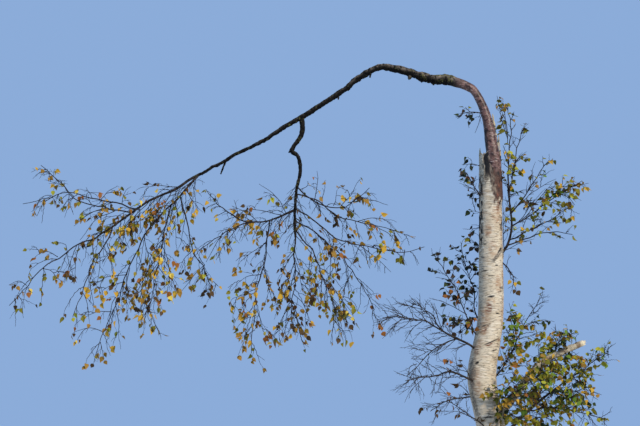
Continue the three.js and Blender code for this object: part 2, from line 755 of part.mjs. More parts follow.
const BARK_WHITE = { color: '#d9d2c4', roughness: 0.75, metalness: 0 };
const LEADER_BROWN = { color: '#6b4a40', roughness: 0.6, metalness: 0 };
const BOUGH_BROWN = { color: '#4d4036', roughness: 0.8, metalness: 0 };
const DEAD_WOOD = { color: '#d8c9ad', roughness: 0.85, metalness: 0 };
const MATERIALS = { trunk: BARK_WHITE, leader_rise: LEADER_BROWN, broken_bough: DEAD_WOOD };

// A mesh whose own origin is where the sub-part grows from
function subPart(name, solid, foot, look) {
  const geometry = toGeometry(mainBody(solid));
  geometry.translate(-foot.x, -foot.y, -foot.z);
  const mesh = new THREE.Mesh(geometry, new THREE.MeshStandardMaterial(look));
  mesh.name = name;
  mesh.position.copy(foot);
  return mesh;
}

addLeaderPieces();
BOUGHS.forEach(addBough);

const birch = new THREE.Group();
const trunkGroup = new THREE.Group();
const boughGroup = new THREE.Group();
const foliageGroup = new THREE.Group();
birch.add(trunkGroup, boughGroup, foliageGroup);

const splintered = joinAll([trunkSolid(), ...SPLINTERS.map(splinterSolid)]);
const trunkBody = splintered.subtract(limbSolid(limbs.leader_rise, SEAT_GAP));
trunkGroup.add(subPart('trunk', trunkBody, new THREE.Vector3(), MATERIALS.trunk));

// What a child is cut by, so that it stands clear of the limb that it grows from
function parentSpace(name) {
  return name === 'trunk' ? trunkSolid(SEAT_GAP) : limbSolid(limbs[name], SEAT_GAP);
}

for (const [name, limb] of Object.entries(limbs)) {
  const stubs = STUBS.filter((stub) => stub.on === name).map((stub) => {
    const points = [vector(stub.foot), vector(stub.tip)];
    return toSolid(limbGeometry(points, framesAlong(points), stub.radii, STUB_SIDES));
  });
  const whole = joinAll([limbSolid(limb), ...stubs]);
  const body = limb.on ? whole.subtract(parentSpace(limb.on)) : whole;
  boughGroup.add(subPart(name, body, limb.points[0], MATERIALS[name] ?? BOUGH_BROWN));
}

const heights = trunkHeights();
occupy('trunk', heights.map(trunkCentre), heights.map((height) => trunkRadius(height) * 1.1));
SPLINTERS.forEach(({ foot, tip, width }) => occupy('trunk', [vector(foot), vector(tip)], [width, width]));
Object.entries(limbs).forEach(([name, limb]) => occupy(name, limb.points, limb.radii));
STUBS.forEach(({ on, foot, tip, radii }) => occupy(on, [vector(foot), vector(tip)], radii));

const streams = Object.fromEntries(MASSES.map(({ name }, index) => [name, seededStream(FIRST_SEED + SEED_STEP * index)]));
const stems = Object.fromEntries(MASSES.map((mass) => [mass.name, stemLine(mass, streams[mass.name])]));
Object.entries(stems).forEach(([name, stem]) => occupy(name, stem, stem.map(() => GROWTH.stemRadius)));

for (const mass of MASSES) {
  const spray = massSolid(mass, stems, streams[mass.name]).subtract(parentSpace(mass.on));
  const look = { color: mass.colour, roughness: 0.7, metalness: 0 };
  foliageGroup.add(subPart(mass.name, spray, stems[mass.name][0], look));
}

export default birch;
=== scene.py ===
import math
from collections import namedtuple

import bpy
import numpy as np
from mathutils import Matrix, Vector


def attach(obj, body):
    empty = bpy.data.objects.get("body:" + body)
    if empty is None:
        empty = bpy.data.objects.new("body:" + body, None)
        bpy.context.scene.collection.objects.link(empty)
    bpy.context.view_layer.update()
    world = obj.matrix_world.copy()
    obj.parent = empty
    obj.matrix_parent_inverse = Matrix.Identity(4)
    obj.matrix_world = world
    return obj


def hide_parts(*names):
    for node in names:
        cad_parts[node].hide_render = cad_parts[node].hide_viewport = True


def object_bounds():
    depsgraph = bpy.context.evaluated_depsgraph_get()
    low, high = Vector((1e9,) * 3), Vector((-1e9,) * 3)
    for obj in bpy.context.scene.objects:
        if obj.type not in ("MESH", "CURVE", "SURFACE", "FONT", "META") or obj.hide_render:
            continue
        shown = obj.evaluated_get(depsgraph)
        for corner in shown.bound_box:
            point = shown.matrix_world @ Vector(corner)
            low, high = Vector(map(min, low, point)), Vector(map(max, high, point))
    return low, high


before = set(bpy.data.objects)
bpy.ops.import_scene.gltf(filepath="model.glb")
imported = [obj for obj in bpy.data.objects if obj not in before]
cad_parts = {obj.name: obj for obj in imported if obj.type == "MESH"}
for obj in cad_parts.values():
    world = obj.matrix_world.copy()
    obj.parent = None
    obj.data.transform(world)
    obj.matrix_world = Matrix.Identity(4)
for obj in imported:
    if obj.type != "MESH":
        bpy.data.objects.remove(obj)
cad_low, cad_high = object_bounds()

# Looks of a paper birch that a storm broke. The sizes are millimetres, as in the part's own source,
# and become metres where a mesh is made. The tree is seen from -Y and its arch reaches along -X.

MM = 0.001
MASK = 0xFFFFFFFF
UP = np.array([0.0, 0.0, 1.0])
GOLDEN_ANGLE = math.pi * (3 - math.sqrt(5))

# Camera: its place in millimetres, its tilt up in degrees and its lens, and the photo's size in pixels
CAMERA_PLACE = (-1529, -14000, 1600)
CAMERA_TILT = 6.2
CAMERA_LENS = 89.5
SENSOR_WIDTH = 36
PHOTO_WIDTH = 640
PHOTO_HEIGHT = 426

# Trunk: taper, lean, belly at chest height, root flare and broken rim
TRUNK_HEIGHT = 3610
FOOT_RADIUS = 134
TOP_RADIUS = 97
LEAN_BACK = -20
LEAN_HEIGHT = 400
BELLY_SHIFT = -90
BELLY_HEIGHT = 1680
BELLY_LENGTH = 350
BELLY_SWELL = 10
SWAY = 18
SWAY_HEIGHT = 900
FLARE = 52
FLARE_HEIGHT = 170
ROOT_RIDGES = 5
RIDGE_TURN = 0.6
RIDGE_SHARE = 0.13
RIM_RISE = 70
RIM_TEETH = 5
ROT_DEPTH = 120
TRUNK_SIDES = 148
TRUNK_ROWS = 600

# Long splinters on the broken rim: foot, tip, half width and half thickness
SPLINTERS = [
    ((50, 42, 3480), (16, 40, 4053), 38, 13),
    ((66, 30, 3500), (64, 46, 3850), 22, 11),
    ((-92, 0, 3500), (-112, -8, 3712), 20, 12),
]

# The leader's whole line from its foot on the trunk's near side to the outer fork, and its pieces
LEADER_LINE = [
    (12, -46, 3150), (11, -62, 3503), (-20, -66, 3791), (-57, -64, 3987), (-143, -60, 4183),
    (-233, -58, 4254), (-396, -58, 4302), (-551, -60, 4313), (-720, -66, 4368), (-853, -70, 4402),
    (-985, -74, 4416), (-1102, -76, 4368), (-1196, -76, 4310), (-1325, -70, 4203), (-1527, -56, 4075),
    (-1680, -46, 3974), (-1821, -38, 3899), (-2042, -25, 3757), (-2337, -8, 3609), (-2650, 12, 3439),
    (-2812, 15, 3335), (-3084, 18, 3211), (-3275, 22, 3074), (-3531, 28, 2891),
]
LEADER_RADII = [
    66, 62, 51, 41, 35, 39, 46, 40, 35, 31, 29, 26, 26, 24, 22, 22, 19, 16.5, 14, 12, 11, 9.5, 8.5, 7,
]
LEADER_PIECES = {
    "leader_rise": (0, 6),
    "leader_arch": (6, 13),
    "leader_fall": (13, 19),
    "outer_bough": (19, 23),
}

Bough = namedtuple("Bough", "on line radii")
BOUGHS = {
    "hanging_bough": Bough(
        "leader_fall",
        [(-1690, -46, 3970), (-1690, -50, 3821), (-1778, -47, 3680), (-1730, -42, 3626),
         (-1704, -34, 3491), (-1738, -28, 3323), (-1750, -23, 3120), (-1744, -20, 2905)],
        (21, 10),
    ),
    "lower_outer_bough": Bough(
        "leader_fall",
        [(-2610, 10, 3458), (-2681, -8, 3373), (-2790, -26, 3240), (-2927, -46, 3107)],
        (10, 7),
    ),
    "left_bough": Bough(
        "hanging_bough",
        [(-1740, -24, 3150), (-1850, 0, 3104), (-2010, 24, 3050), (-2190, 40, 3046)],
        (9, 6),
    ),
    "side_bough": Bough(
        "trunk",
        [(60, -26, 2740), (128, -40, 2850), (162, -34, 3010), (146, -22, 3230), (136, -14, 3480)],
        (12, 6),
    ),
    "bare_bough": Bough(
        "trunk", [(-110, -30, 1880), (-250, -44, 1975), (-405, -40, 2044), (-560, -30, 2140)], (11, 6)
    ),
    "low_bare_bough": Bough(
        "trunk", [(-130, -50, 1610), (-250, -80, 1668), (-400, -96, 1722), (-514, -100, 1690)], (10, 6)
    ),
    "broken_bough": Bough(
        "trunk",
        [(0, -40, 1290), (140, -96, 1477), (341, -120, 1755), (560, -130, 1886), (756, -136, 1970)],
        (29, 26),
    ),
    "bush_bough": Bough(
        "trunk", [(30, 30, 1120), (240, 40, 1330), (400, 50, 1470), (560, 60, 1590)], (17, 8)
    ),
}

# Dead stubs and spurs that stand off a limb: foot, tip, and the radius at each
Stub = namedtuple("Stub", "on foot tip radii")
STUBS = [
    Stub("leader_arch", (-1080, -76, 4378), (-1085, -84, 4324), (11, 7)),
    Stub("leader_arch", (-722, -68, 4364), (-738, -74, 4314), (24, 14)),
    Stub("leader_fall", (-1362, -68, 4180), (-1368, -74, 4128), (9, 6)),
    Stub("leader_fall", (-2364, 0, 3594), (-2410, -14, 3468), (8, 5)),
    Stub("hanging_bough", (-1776, -47, 3684), (-1806, -50, 3654), (11, 4)),
]

# Masses of twigs: the limb each grows from and where, its furthest tip, the lift of its stem's middle,
# how far its twigs reach, and how many twigs and leaves to a twig it has
Mass = namedtuple("Mass", "name on place tip bow reach twigs leaves lift")
WEEPING = [
    Mass("outer_upper", "outer_bough", 0.66, (-3960, -260, 3510), -115, 190, 7, 1.3, 0.15),
    Mass("outer_side", "outer_bough", 0.6, (-4222, 330, 3240), 95, 180, 7, 1.3, 0),
    Mass("outer_main", "outer_bough", 0.985, (-4250, -60, 2300), 100, 250, 7, 1.6, -0.25),
    Mass("outer_droop", "outer_bough", 0.84, (-3642, -380, 2190), 60, 250, 7, 1.8, -0.35),
    Mass("outer_low", "lower_outer_bough", 0.985, (-3526, 120, 1805), 180, 250, 8, 1.8, -0.3),
    Mass("outer_mid", "lower_outer_bough", 0.8, (-3004, -330, 2210), 40, 240, 7, 1.8, -0.3),
    Mass("outer_inner", "lower_outer_bough", 0.6, (-2454, 380, 2500), -150, 220, 7, 1.7, -0.3),
    Mass("left_tip", "left_bough", 0.985, (-2548, 120, 3345), -50, 130, 5, 1.1, 0.1),
    Mass("left_out", "left_bough", 0.84, (-2577, -300, 2765), 50, 180, 6, 1.3, -0.1),
    Mass("left_droop", "left_bough", 0.6, (-2143, 300, 1891), 60, 250, 8, 1.7, -0.25),
    Mass("right_top", "hanging_bough", 0.69, (-1100, -260, 3312), -175, 170, 6, 1.2, 0.15),
    Mass("right_mid", "hanging_bough", 0.74, (-820, 300, 2985), -40, 190, 7, 1.4, 0),
    Mass("right_low", "hanging_bough", 0.83, (-618, -160, 2806), -170, 200, 7, 1.4, -0.2),
    Mass("low_right", "hanging_bough", 0.905, (-1038, 330, 2280), 140, 240, 7, 1.6, -0.2),
    Mass("low_mid", "hanging_bough", 0.955, (-1366, -400, 2150), 80, 240, 7, 1.7, -0.2),
    Mass("low_centre", "hanging_bough", 0.99, (-1770, 60, 2120), 60, 260, 9, 1.8, -0.1),
]
SIDE = [
    Mass("side_top", "side_bough", 0.985, (150, 20, 4095), 0, 110, 7, 1.6, 0.2),
    Mass("side_top_right", "side_bough", 0.8, (309, 150, 3920), 40, 120, 6, 1.6, 0.2),
    Mass("side_right_high", "side_bough", 0.62, (473, -220, 3559), -20, 120, 5, 1.4, 0.1),
    Mass("side_right", "side_bough", 0.48, (785, -60, 3400), 10, 150, 7, 1.6, 0.1),
    Mass("side_right_low", "side_bough", 0.3, (718, 240, 3207), -20, 130, 6, 1.6, 0.1),
    Mass("side_twig", "side_bough", 0.2, (668, -200, 2911), 50, 90, 5, 0.7, 0),
    Mass("side_low", "trunk", (50, -30, 2700), (190, -60, 2440), 40, 90, 4, 1.4, 0),
]
DARK = [
    Mass("snag_shoot_high", "leader_rise", 0.52, (-290, -150, 3985), -10, 90, 4, 1.3, 0),
    Mass("snag_shoot_low", "trunk", (-80, -40, 3230), (-236, -100, 3467), 0, 110, 5, 1.4, 0),
    Mass("dark_shoot_outer", "trunk", (-110, 20, 1960), (-525, -60, 2750), 40, 200, 8, 1.7, 0.1),
    Mass("dark_shoot_inner", "trunk", (-90, 60, 2060), (-262, 230, 2850), 0, 150, 7, 1.7, 0.1),
]
BARE = [
    Mass("bare_out", "bare_bough", 0.985, (-985, -160, 2188), 20, 190, 8, 0, 0),
    Mass("bare_up", "bare_bough", 0.75, (-722, 220, 2362), 20, 150, 7, 0, 0.1),
    Mass("bare_down", "bare_bough", 0.5, (-766, 120, 1681), 70, 180, 7, 0, 0),
    Mass("low_bare_out", "low_bare_bough", 0.985, (-797, -260, 1644), 20, 180, 7, 0, 0.2),
    Mass("low_leafy", "trunk", (-130, -30, 1500), (-555, 150, 1378), 60, 150, 7, 0.6, 0),
    Mass("lowest_bare", "trunk", (-80, -70, 1230), (-423, -220, 1472), 0, 130, 6, 0.5, 0.1),
]
BUSH = [
    Mass("bush_top", "trunk", (-20, 60, 1640), (400, 0, 2360), -40, 210, 7, 1.4, 0.1),
    Mass("bush_upper", "bush_bough", 0.62, (636, 240, 2078), 0, 220, 8, 1.9, 0.1),
    Mass("bush_right", "bush_bough", 0.985, (986, -20, 1890), 10, 210, 8, 1.9, 0.1),
    Mass("bush_mid", "bush_bough", 0.88, (802, -280, 1590), 0, 220, 7, 1.9, 0),
    Mass("bush_low", "bush_bough", 0.45, (981, 120, 1308), 30, 220, 8, 1.7, 0),
    Mass("bush_near", "trunk", (20, -70, 1420), (370, -430, 1716), 20, 220, 8, 1.9, 0.1),
    Mass("bush_back", "bush_bough", 0.3, (549, 480, 1620), 0, 210, 7, 1.7, 0.1),
    Mass("bush_foot", "trunk", (50, -40, 1000), (570, -200, 1068), 40, 220, 8, 1.7, 0),
]
MASSES = WEEPING + SIDE + DARK + BARE + BUSH

# The source's rule of growth
FIRST_SEED = 1000
SEED_STEP = 17
STEM_STEPS = 5
WANDER = 0.028
WANDER_TURNS = 3
FIRST_TWIG = 0.14
LAST_TWIG = 0.97
FORWARD = 0.75
OUTWARD = 0.8
TWIG_SHARE = 1.2
SHORTEST = 0.55
END_SHARE = 0.55
LEAF_FORWARD = 0.5
LEAF_SIDEWAYS = 0.8
LEAF_HANG = 0.8

# What carries it to finer twigs and to leaves of their real size. A tube has radii at its foot and its
# tip, and a number of sides
FINE_SEED = 5000
STEM_TUBE = ((6.5, 2.6), 7)
SPRAY_TUBE = ((3.6, 1.7), 5)
TWIG_TUBE = ((3.3, 1.8), 5)
FINE_TUBE = ((2.0, 1.2), 4)
SPUR_TUBE = ((1.44, 0.96), 4)
STEM_KINK = 8  # how far a stem turns aside at a bud
KINK_SPACING = 60  # along a stem, between such turns
STEM_BEND = 20  # how far a stem swings from one bend to the next
BEND_SPACING = 190
FURTHER_TURN = 1.4  # radians that a further twig turns from the source's
FURTHER_FROM = 0.06  # share of the stem where they begin
FURTHER_SIZES = (1.15, 0.6)  # at the stem's foot and tip
SPRAY_KINK = 6
SPRAY_BOW = 0.08
SIDE_SPACING = 170  # along a spray, between its side twigs
SIDE_PLACES = (0.3, 0.95)
SIDE_LENGTHS = (70, 170)
SIDE_FORWARD = 0.8
SHOOT_FORWARD = 0.6
SHOOT_SHORTEST = 0.35
SHORTER_TWIG = 0.6  # share of its length that a twig falls back to where it doesn't fit
TWIG_KINK = 5
TWIG_DRIFT = 0.22
FINE_LENGTHS = (50, 130)
FINE_PLACES = (0.15, 0.95)
FINE_TURN = 1.1
FINE_OUTWARD = (0.6, 1.3)
END_OUTWARD = 0.3  # for the fine twig that ends its twig
FINE_END_SIZE = 0.6
FINE_KINK = 3.5
LONG_FINE_TWIG = 85  # one longer than this carries spurs
SPUR_PLACES = (0.4, 0.7)
SPUR_LENGTHS = (18, 55)
SPUR_DROOP = 0.1
BARE_TIP = 0.9  # share of a stem where it grows bare towards its tip
LEAF_PLACES = (1.0, 0.76, 0.52, 0.3)  # along a fine twig, from its tip
STEM_LEAF_PLACES = (0.95, 1.0)
MOST_LEAFY = 1.4
SAME_TINT = 0.7  # share of a spray's leaves that have its own tint
LEAF_LENGTHS = (38, 66)
LEAF_WIDTH = 0.92  # as a share of its outline's
LEAF_CURLS = (-0.1, 0.5)
LEAF_FOLDS = (0.05, 0.6)
CURL_DROP = 0.6
CURL_SHRINK = 0.35
FOLD_SHRINK = 0.25
PETIOLE_LENGTHS = (10, 18)
PETIOLE_RADII = (1.08, 0.9, 0.9)
LIMB_MARGIN = 12  # kept by a leaf's tip to the limbs
LIMB_REACH = 270  # how far sprays that leave a limb itself may go from it
BOX_MARGIN = 20  # how far a twig may pass the solids' box

# How each group's twigs differ. more: further twigs as a share of the source's. droop, fine_droop: of twigs
# and fine twigs. fine_forward, fine_outward: how fine twigs leave their twig. leafy: how many of them have
# leaves, for each leaf of the source's twig. even: the share of those left outside the leafy places.
# spacing, fine_size: of fine twigs
Habit = namedtuple("Habit", "more droop fine_droop fine_forward fine_outward leafy even spacing fine_size")

# Where leaves still hang in clusters, seen from the front: across, height, radius and strength
Cluster = namedtuple("Cluster", "across height radius strength")
WEEPING_CLUSTERS = [
    (-3610, 3010, 132, 1.0), (-3320, 3180, 123, 1.0), (-3090, 3020, 114, 0.9), (-2920, 2870, 150, 1.0),
    (-3080, 2650, 106, 0.9), (-3300, 2500, 106, 0.8), (-3040, 2430, 97, 0.8), (-2780, 2480, 79, 0.8),
    (-2560, 2550, 106, 0.9), (-3910, 2610, 106, 0.9), (-4170, 2530, 88, 0.8), (-3540, 2750, 79, 0.6),
    (-4010, 3260, 88, 0.9), (-2700, 2920, 106, 0.6), (-1440, 2850, 141, 1.3), (-2210, 2470, 114, 1.2),
    (-1780, 2460, 114, 1.0), (-1700, 2690, 97, 0.9), (-2000, 2420, 88, 0.7), (-1280, 3180, 114, 0.8),
    (-1080, 2920, 106, 0.8), (-760, 2850, 97, 0.9), (-1510, 2390, 114, 1.0), (-1970, 3000, 106, 0.7),
    (-2080, 2190, 114, 0.7), (-2410, 3170, 79, 0.7), (-1640, 3040, 97, 0.5),
]
BUSH_CLUSTERS = [
    (200, 1640, 230, 1.0), (120, 1380, 220, 1.0), (420, 1700, 220, 0.9), (420, 1420, 240, 0.9),
    (600, 1880, 170, 0.6),
]
SIDE_CLUSTERS = [
    (230, 3560, 123, 1.0), (60, 4080, 88, 1.0), (600, 3260, 150, 1.0), (210, 3370, 88, 0.6),
]

# Long side twigs, by the mass or limb that bears them: the share of it where each leaves, the
# photo's column and row where its tip shows, and how leafy it is
Spray = namedtuple("Spray", "share column row leaves")
SPRAYS = {
    "weeping": {
        "outer_upper": [
         (0.25, 74, 226, 2), (0.18, 80, 240, 2), (0.3, 86, 216, 1.5), (0.62, 49, 181, 1),
         (0.8, 44, 171, 0.5),
        ],
        "outer_side": [
         (0.3, 116, 187, 1.4), (0.12, 126, 190, 1.2), (0.42, 95, 194, 0.8), (0.75, 37, 216, 0.8),
         (0.6, 68, 208, 1),
        ],
        "outer_main": [
         (0.05, 94, 275, 1.2), (0.2, 75, 281, 0.8), (0.6, 58, 279, 1.6), (0.8, 9, 285, 1.2),
         (0.35, 62, 243, 0.6), (0.45, 39, 254, 0.8), (0.9, 23, 306, 1),
        ],
        "outer_bough": [
         (0.45, 102, 264, 1.4), (0.4, 128, 243, 2.4), (0.35, 141, 232, 2), (0.28, 158, 216, 1.6),
         (0.55, 116, 245, 1.2), (0.2, 143, 187, 0.4), (0.6, 104, 234, 1.2),
        ],
        "outer_low": [
         (0.6, 103, 290, 2), (0.55, 92, 285, 1.6), (0.75, 82, 319, 1), (0.85, 77, 331, 0.6),
         (0.9, 101, 350, 0.6), (0.7, 119, 339, 0.8), (0.25, 150, 275, 2.2), (0.35, 142, 300, 2),
         (0.5, 127, 311, 1.4), (0.65, 108, 318, 0.8),
        ],
        "outer_mid": [
         (0.35, 148, 262, 2.4), (0.5, 138, 290, 2.2), (0.6, 143, 312, 1.8), (0.75, 155, 300, 1.6),
         (0.97, 159, 331, 0.6), (0.9, 145, 327, 0.6), (0.1, 176, 243, 2.2), (0.3, 166, 262, 1.8),
         (0.4, 172, 282, 1),
        ],
        "lower_outer_bough": [(0.45, 194, 212, 2), (0.7, 170, 232, 1.6), (0.9, 146, 236, 1.6)],
        "outer_inner": [
         (0.4, 180, 268, 1.8), (0.6, 181, 292, 1.8), (0.75, 196, 283, 1.6), (0.95, 212, 294, 0.8),
         (0.5, 204, 268, 1.2),
        ],
        "left_bough": [
         (0.27, 259, 184, 0.6), (0.35, 238, 211, 0.8), (0.6, 258, 233, 2), (0.35, 274, 231, 2),
         (0.8, 232, 206, 0.8),
        ],
        "left_tip": [(0.2, 234, 200, 0.8), (0.5, 219, 215, 1)],
        "left_out": [(0.3, 216, 260, 1), (0.6, 206, 262, 1.2), (0.5, 228, 242, 0.8)],
        "left_droop": [
         (0.45, 238, 283, 2.4), (0.5, 244, 292, 2.4), (0.55, 234, 298, 1.8), (0.35, 271, 296, 2),
         (0.75, 240, 324, 1), (0.85, 245, 336, 1.2), (0.7, 264, 333, 1.6), (0.2, 240, 262, 0.6),
         (0.3, 262, 272, 1),
        ],
        "low_centre": [
         (0.8, 279, 333, 1), (0.8, 301, 337, 0.8), (0.8, 286, 326, 0.8), (0.7, 308, 316, 1),
         (0.35, 283, 290, 2.2), (0.45, 290, 300, 2.2), (0.3, 302, 288, 2), (0.15, 300, 266, 1.6),
         (0.2, 284, 262, 1),
        ],
        "low_mid": [
         (0.9, 339, 338, 0.6), (0.85, 349, 330, 1), (0.7, 344, 303, 1), (0.6, 351, 311, 0.8),
         (0.5, 318, 298, 2.2), (0.55, 328, 303, 2.2), (0.35, 310, 288, 1.4), (0.9, 332, 334, 0.6),
        ],
        "low_right": [
         (0.25, 325, 245, 2.4), (0.3, 331, 256, 2.4), (0.4, 336, 268, 2), (0.6, 349, 291, 0.8),
         (0.97, 374, 323, 0.8), (0.8, 369, 292, 0.8), (0.45, 330, 276, 1.6),
        ],
        "right_low": [
         (0.3, 333, 240, 2.4), (0.4, 338, 251, 2.4), (0.5, 352, 262, 1.8), (0.6, 377, 246, 1.6),
         (0.85, 405, 265, 0.4), (0.5, 391, 272, 0.8), (0.75, 378, 251, 1.4),
        ],
        "right_mid": [
         (0.9, 415, 239, 2), (0.6, 372, 232, 1.8), (0.6, 388, 220, 0.6), (0.3, 345, 228, 1.4),
         (0.75, 401, 248, 1),
        ],
        "right_top": [
         (0.7, 388, 205, 1), (0.25, 317, 171, 0.8), (0.35, 325, 187, 0.8), (0.5, 337, 190, 1.2),
         (0.6, 357, 183, 0.8), (0.05, 308, 182, 1.2), (0.6, 352, 211, 1.4), (0.8, 372, 200, 1),
        ],
    },
    "side": {
        "side_top": [
         (0.5, 497, 96, 1.6), (0.45, 500, 108, 2.4), (0.55, 503, 103, 2.4), (0.15, 503, 150, 1.6),
         (0.1, 502, 163, 1.4),
        ],
        "side_top_right": [
         (0.3, 522, 176, 2), (0.4, 525, 158, 2), (0.25, 514, 166, 2), (0, 535, 191, 0.6),
        ],
        "side_right_high": [(0.15, 556, 179, 0.6), (0.4, 538, 182, 1), (0.6, 533, 168, 1)],
        "side_right": [
         (0.2, 551, 185, 2), (0.4, 566, 184, 1.4), (0.5, 551, 197, 1.6), (0.6, 577, 198, 1.2),
         (0.7, 575, 205, 1.2), (0.1, 541, 193, 1), (0.3, 528, 202, 1), (0.15, 543, 210, 0.8),
        ],
        "side_right_low": [
         (0.9, 563, 215, 2.4), (0.95, 571, 214, 2.4), (0.4, 532, 219, 1.4), (0.5, 537, 225, 1.4),
         (0.2, 527, 215, 0.6), (0.6, 560, 224, 0.4),
        ],
        "side_bough": [
         (0.12, 503, 196, 0.6), (0.5, 506, 200, 0.6), (0.7, 504, 176, 1), (0.1, 523, 242, 1.2),
        ],
        "side_low": [(0.4, 511, 256, 1.4), (0.7, 513, 282, 1.4)],
    },
    "dark": {
        "snag_shoot_low": [(0.12, 462, 184, 1.2), (0.1, 469, 199, 1)],
        "snag_shoot_high": [(0.1, 475, 133, 0.8), (0.5, 469, 128, 1.4)],
        "dark_shoot_outer": [
         (0.3, 429, 298, 0.2), (0.6, 440, 278, 0.3), (0.9, 432, 252, 1), (0.8, 448, 258, 1.4),
         (0.5, 452, 284, 1.6), (0.4, 452, 297, 1.6), (0.1, 449, 317, 1.6), (0.15, 460, 331, 1.8),
         (0.2, 455, 322, 1.6), (0.45, 464, 296, 1.4),
        ],
        "dark_shoot_inner": [
         (0.3, 477, 302, 1.8), (0.45, 463, 291, 1.8), (0.6, 478, 272, 2), (0.75, 477, 260, 2),
         (0.6, 463, 270, 1.8), (0.7, 461, 258, 1.6), (0.15, 476, 318, 1.8), (0.2, 468, 326, 1.6),
        ],
        "trunk": [
         (0.835, 474, 211, 1.6), (0.801, 477, 225, 1.4), (0.778, 479, 236, 1.2),
         (0.748, 477, 248, 1.6), (0.964, 474, 164, 1.6), (0.731, 470, 240, 0.8),
        ],
    },
    "bare": {
        "bare_out": [
         (0.1, 402, 304, 0), (0.4, 388, 311, 0), (0.5, 386, 318, 0), (0.6, 390, 330, 0),
         (0.2, 407, 338, 0), (0.3, 394, 324, 0),
        ],
        "bare_up": [(0.2, 418, 303, 0), (0.05, 434, 303, 0), (0.5, 409, 306, 0), (0.1, 446, 314, 0)],
        "bare_down": [
         (0.3, 410, 346, 0), (0.5, 416, 358, 0), (0.8, 408, 374, 0), (0.2, 436, 352, 0.4),
         (0.4, 428, 340, 0),
        ],
        "bare_bough": [(0.3, 454, 350, 0.4), (0.5, 440, 333, 0)],
        "low_bare_out": [(0.3, 408, 395, 0), (0.1, 421, 364, 0), (0.6, 416, 386, 0)],
        "low_bare_bough": [(0.5, 448, 364, 0), (0.25, 455, 363, 1.4)],
        "low_leafy": [(0.5, 441, 389, 1.2), (0.8, 436, 409, 0.6), (0.2, 458, 385, 0.8)],
        "lowest_bare": [(0.5, 447, 411, 0.4), (0.8, 462, 396, 0.6)],
    },
    "bush": {
        "bush_top": [
         (0.7, 550, 321, 0.8), (0.45, 509, 303, 1.4), (0.5, 512, 317, 1.4), (0.45, 507, 331, 1.4),
         (0.55, 537, 333, 1.2), (0.3, 509, 345, 1.6), (0.35, 524, 342, 1.4), (0.15, 508, 362, 2),
         (0.25, 520, 356, 2), (0.1, 497, 372, 1.6),
        ],
        "bush_near": [
         (0.05, 492, 397, 2), (0.1, 497, 388, 2), (0.05, 500, 412, 2.4), (0.2, 508, 398, 2.4),
         (0.15, 497, 424, 2.4), (0.3, 516, 385, 2.4), (0.35, 521, 408, 2.4), (0.5, 531, 396, 2.4),
         (0.6, 524, 378, 2), (0.1, 513, 420, 2.4), (0.8, 540, 372, 2), (0.7, 541, 405, 2.2),
        ],
        "broken_bough": [
         (0.35, 512, 382, 2), (0.5, 536, 356, 2), (0.6, 538, 374, 2), (0.7, 560, 350, 1.6),
         (0.8, 566, 360, 1.6), (0.9, 577, 335, 0.6), (0.25, 505, 395, 2.4), (0.45, 520, 366, 2),
        ],
        "bush_upper": [
         (0.5, 545, 341, 1.6), (0.7, 562, 338, 1.6), (0.3, 540, 386, 2), (0.4, 556, 372, 1.8),
        ],
        "bush_back": [(0.4, 525, 393, 2), (0.2, 520, 416, 2)],
        "bush_right": [(0.3, 575, 379, 1.2), (0.6, 590, 362, 1.2)],
        "bush_mid": [(0.4, 562, 396, 1.2), (0.1, 548, 400, 1.8)],
        "bush_low": [(0.1, 536, 418, 1.8), (0.4, 560, 420, 1)],
        "bush_foot": [(0.2, 506, 430, 2), (0.5, 530, 424, 2)],
    },
}
SPRAY_SWINGS = (30, 70, 50, 90)  # before or behind their bearer, in turn
NEAR_BEARERS = ("bush_near", "broken_bough")  # their sprays all come forward
NEAR_SWING = 1.3  # as a share of the others'
TRUNK_SPRAY_DEPTH = -20

# Short shoots along the limbs themselves: where they begin and end along the limb, their number, longest
# length and leaves
Shoots = namedtuple("Shoots", "limb first last count length leaves")


def lerp(first, last, share):
    return first + (last - first) * share


def smooth_step(value):
    held = np.clip(value, 0, 1)
    return held * held * (3 - 2 * held)


def unit(vector):
    return vector / np.linalg.norm(vector, axis=-1, keepdims=True)


class Stream:
    """Numbers from 0 to 1, the same on every run and the same as in the source."""

    def __init__(self, seed):
        self.state = seed & MASK

    def __call__(self):
        self.state = (self.state + 0x6D2B79F5) & MASK
        mixed = ((self.state ^ (self.state >> 15)) * (self.state | 1)) & MASK
        mixed ^= (mixed + (mixed ^ (mixed >> 7)) * (mixed | 61)) & MASK
        return (mixed ^ (mixed >> 14)) / 4294967296

    def between(self, low, high):
        return lerp(low, high, self())


def lattice(cells, seed):
    """A number from -1 to 1 for each whole cell of space."""
    mixed = (cells[..., 0] * 73856093) ^ (cells[..., 1] * 19349663) ^ (cells[..., 2] * 83492791)
    mixed = (mixed ^ (seed * 2654435761)) & MASK
    mixed = ((mixed ^ (mixed >> 15)) * 0x2C1B3C6D) & MASK
    mixed = ((mixed ^ (mixed >> 12)) * 0x297A2D39) & MASK
    return ((mixed ^ (mixed >> 15)) & 0xFFFF) / 32767.5 - 1


def noise(points, scale, seed):
    """Soft noise from -1 to 1 at points. scale is its grain in millimetres, for all axes or for each."""
    place = points / np.asarray(scale, float)
    cell = np.floor(place).astype(np.int64)
    share = place - cell
    share = share * share * (3 - 2 * share)
    total = np.zeros(points.shape[:-1])
    for corner in np.ndindex(2, 2, 2):
        weight = np.prod(np.where(np.array(corner) == 1, share, 1 - share), axis=-1)
        total += weight * lattice(cell + np.array(corner), seed)
    return total


def rough_noise(points, scale, seed, octaves=3):
    """Several layers of noise, each half the grain and half the strength of the one before."""
    grain = np.asarray(scale, float)
    total = sum(noise(points, grain / 2**i, seed + i) / 2**i for i in range(octaves))
    return total / (2 - 2 ** (1 - octaves))


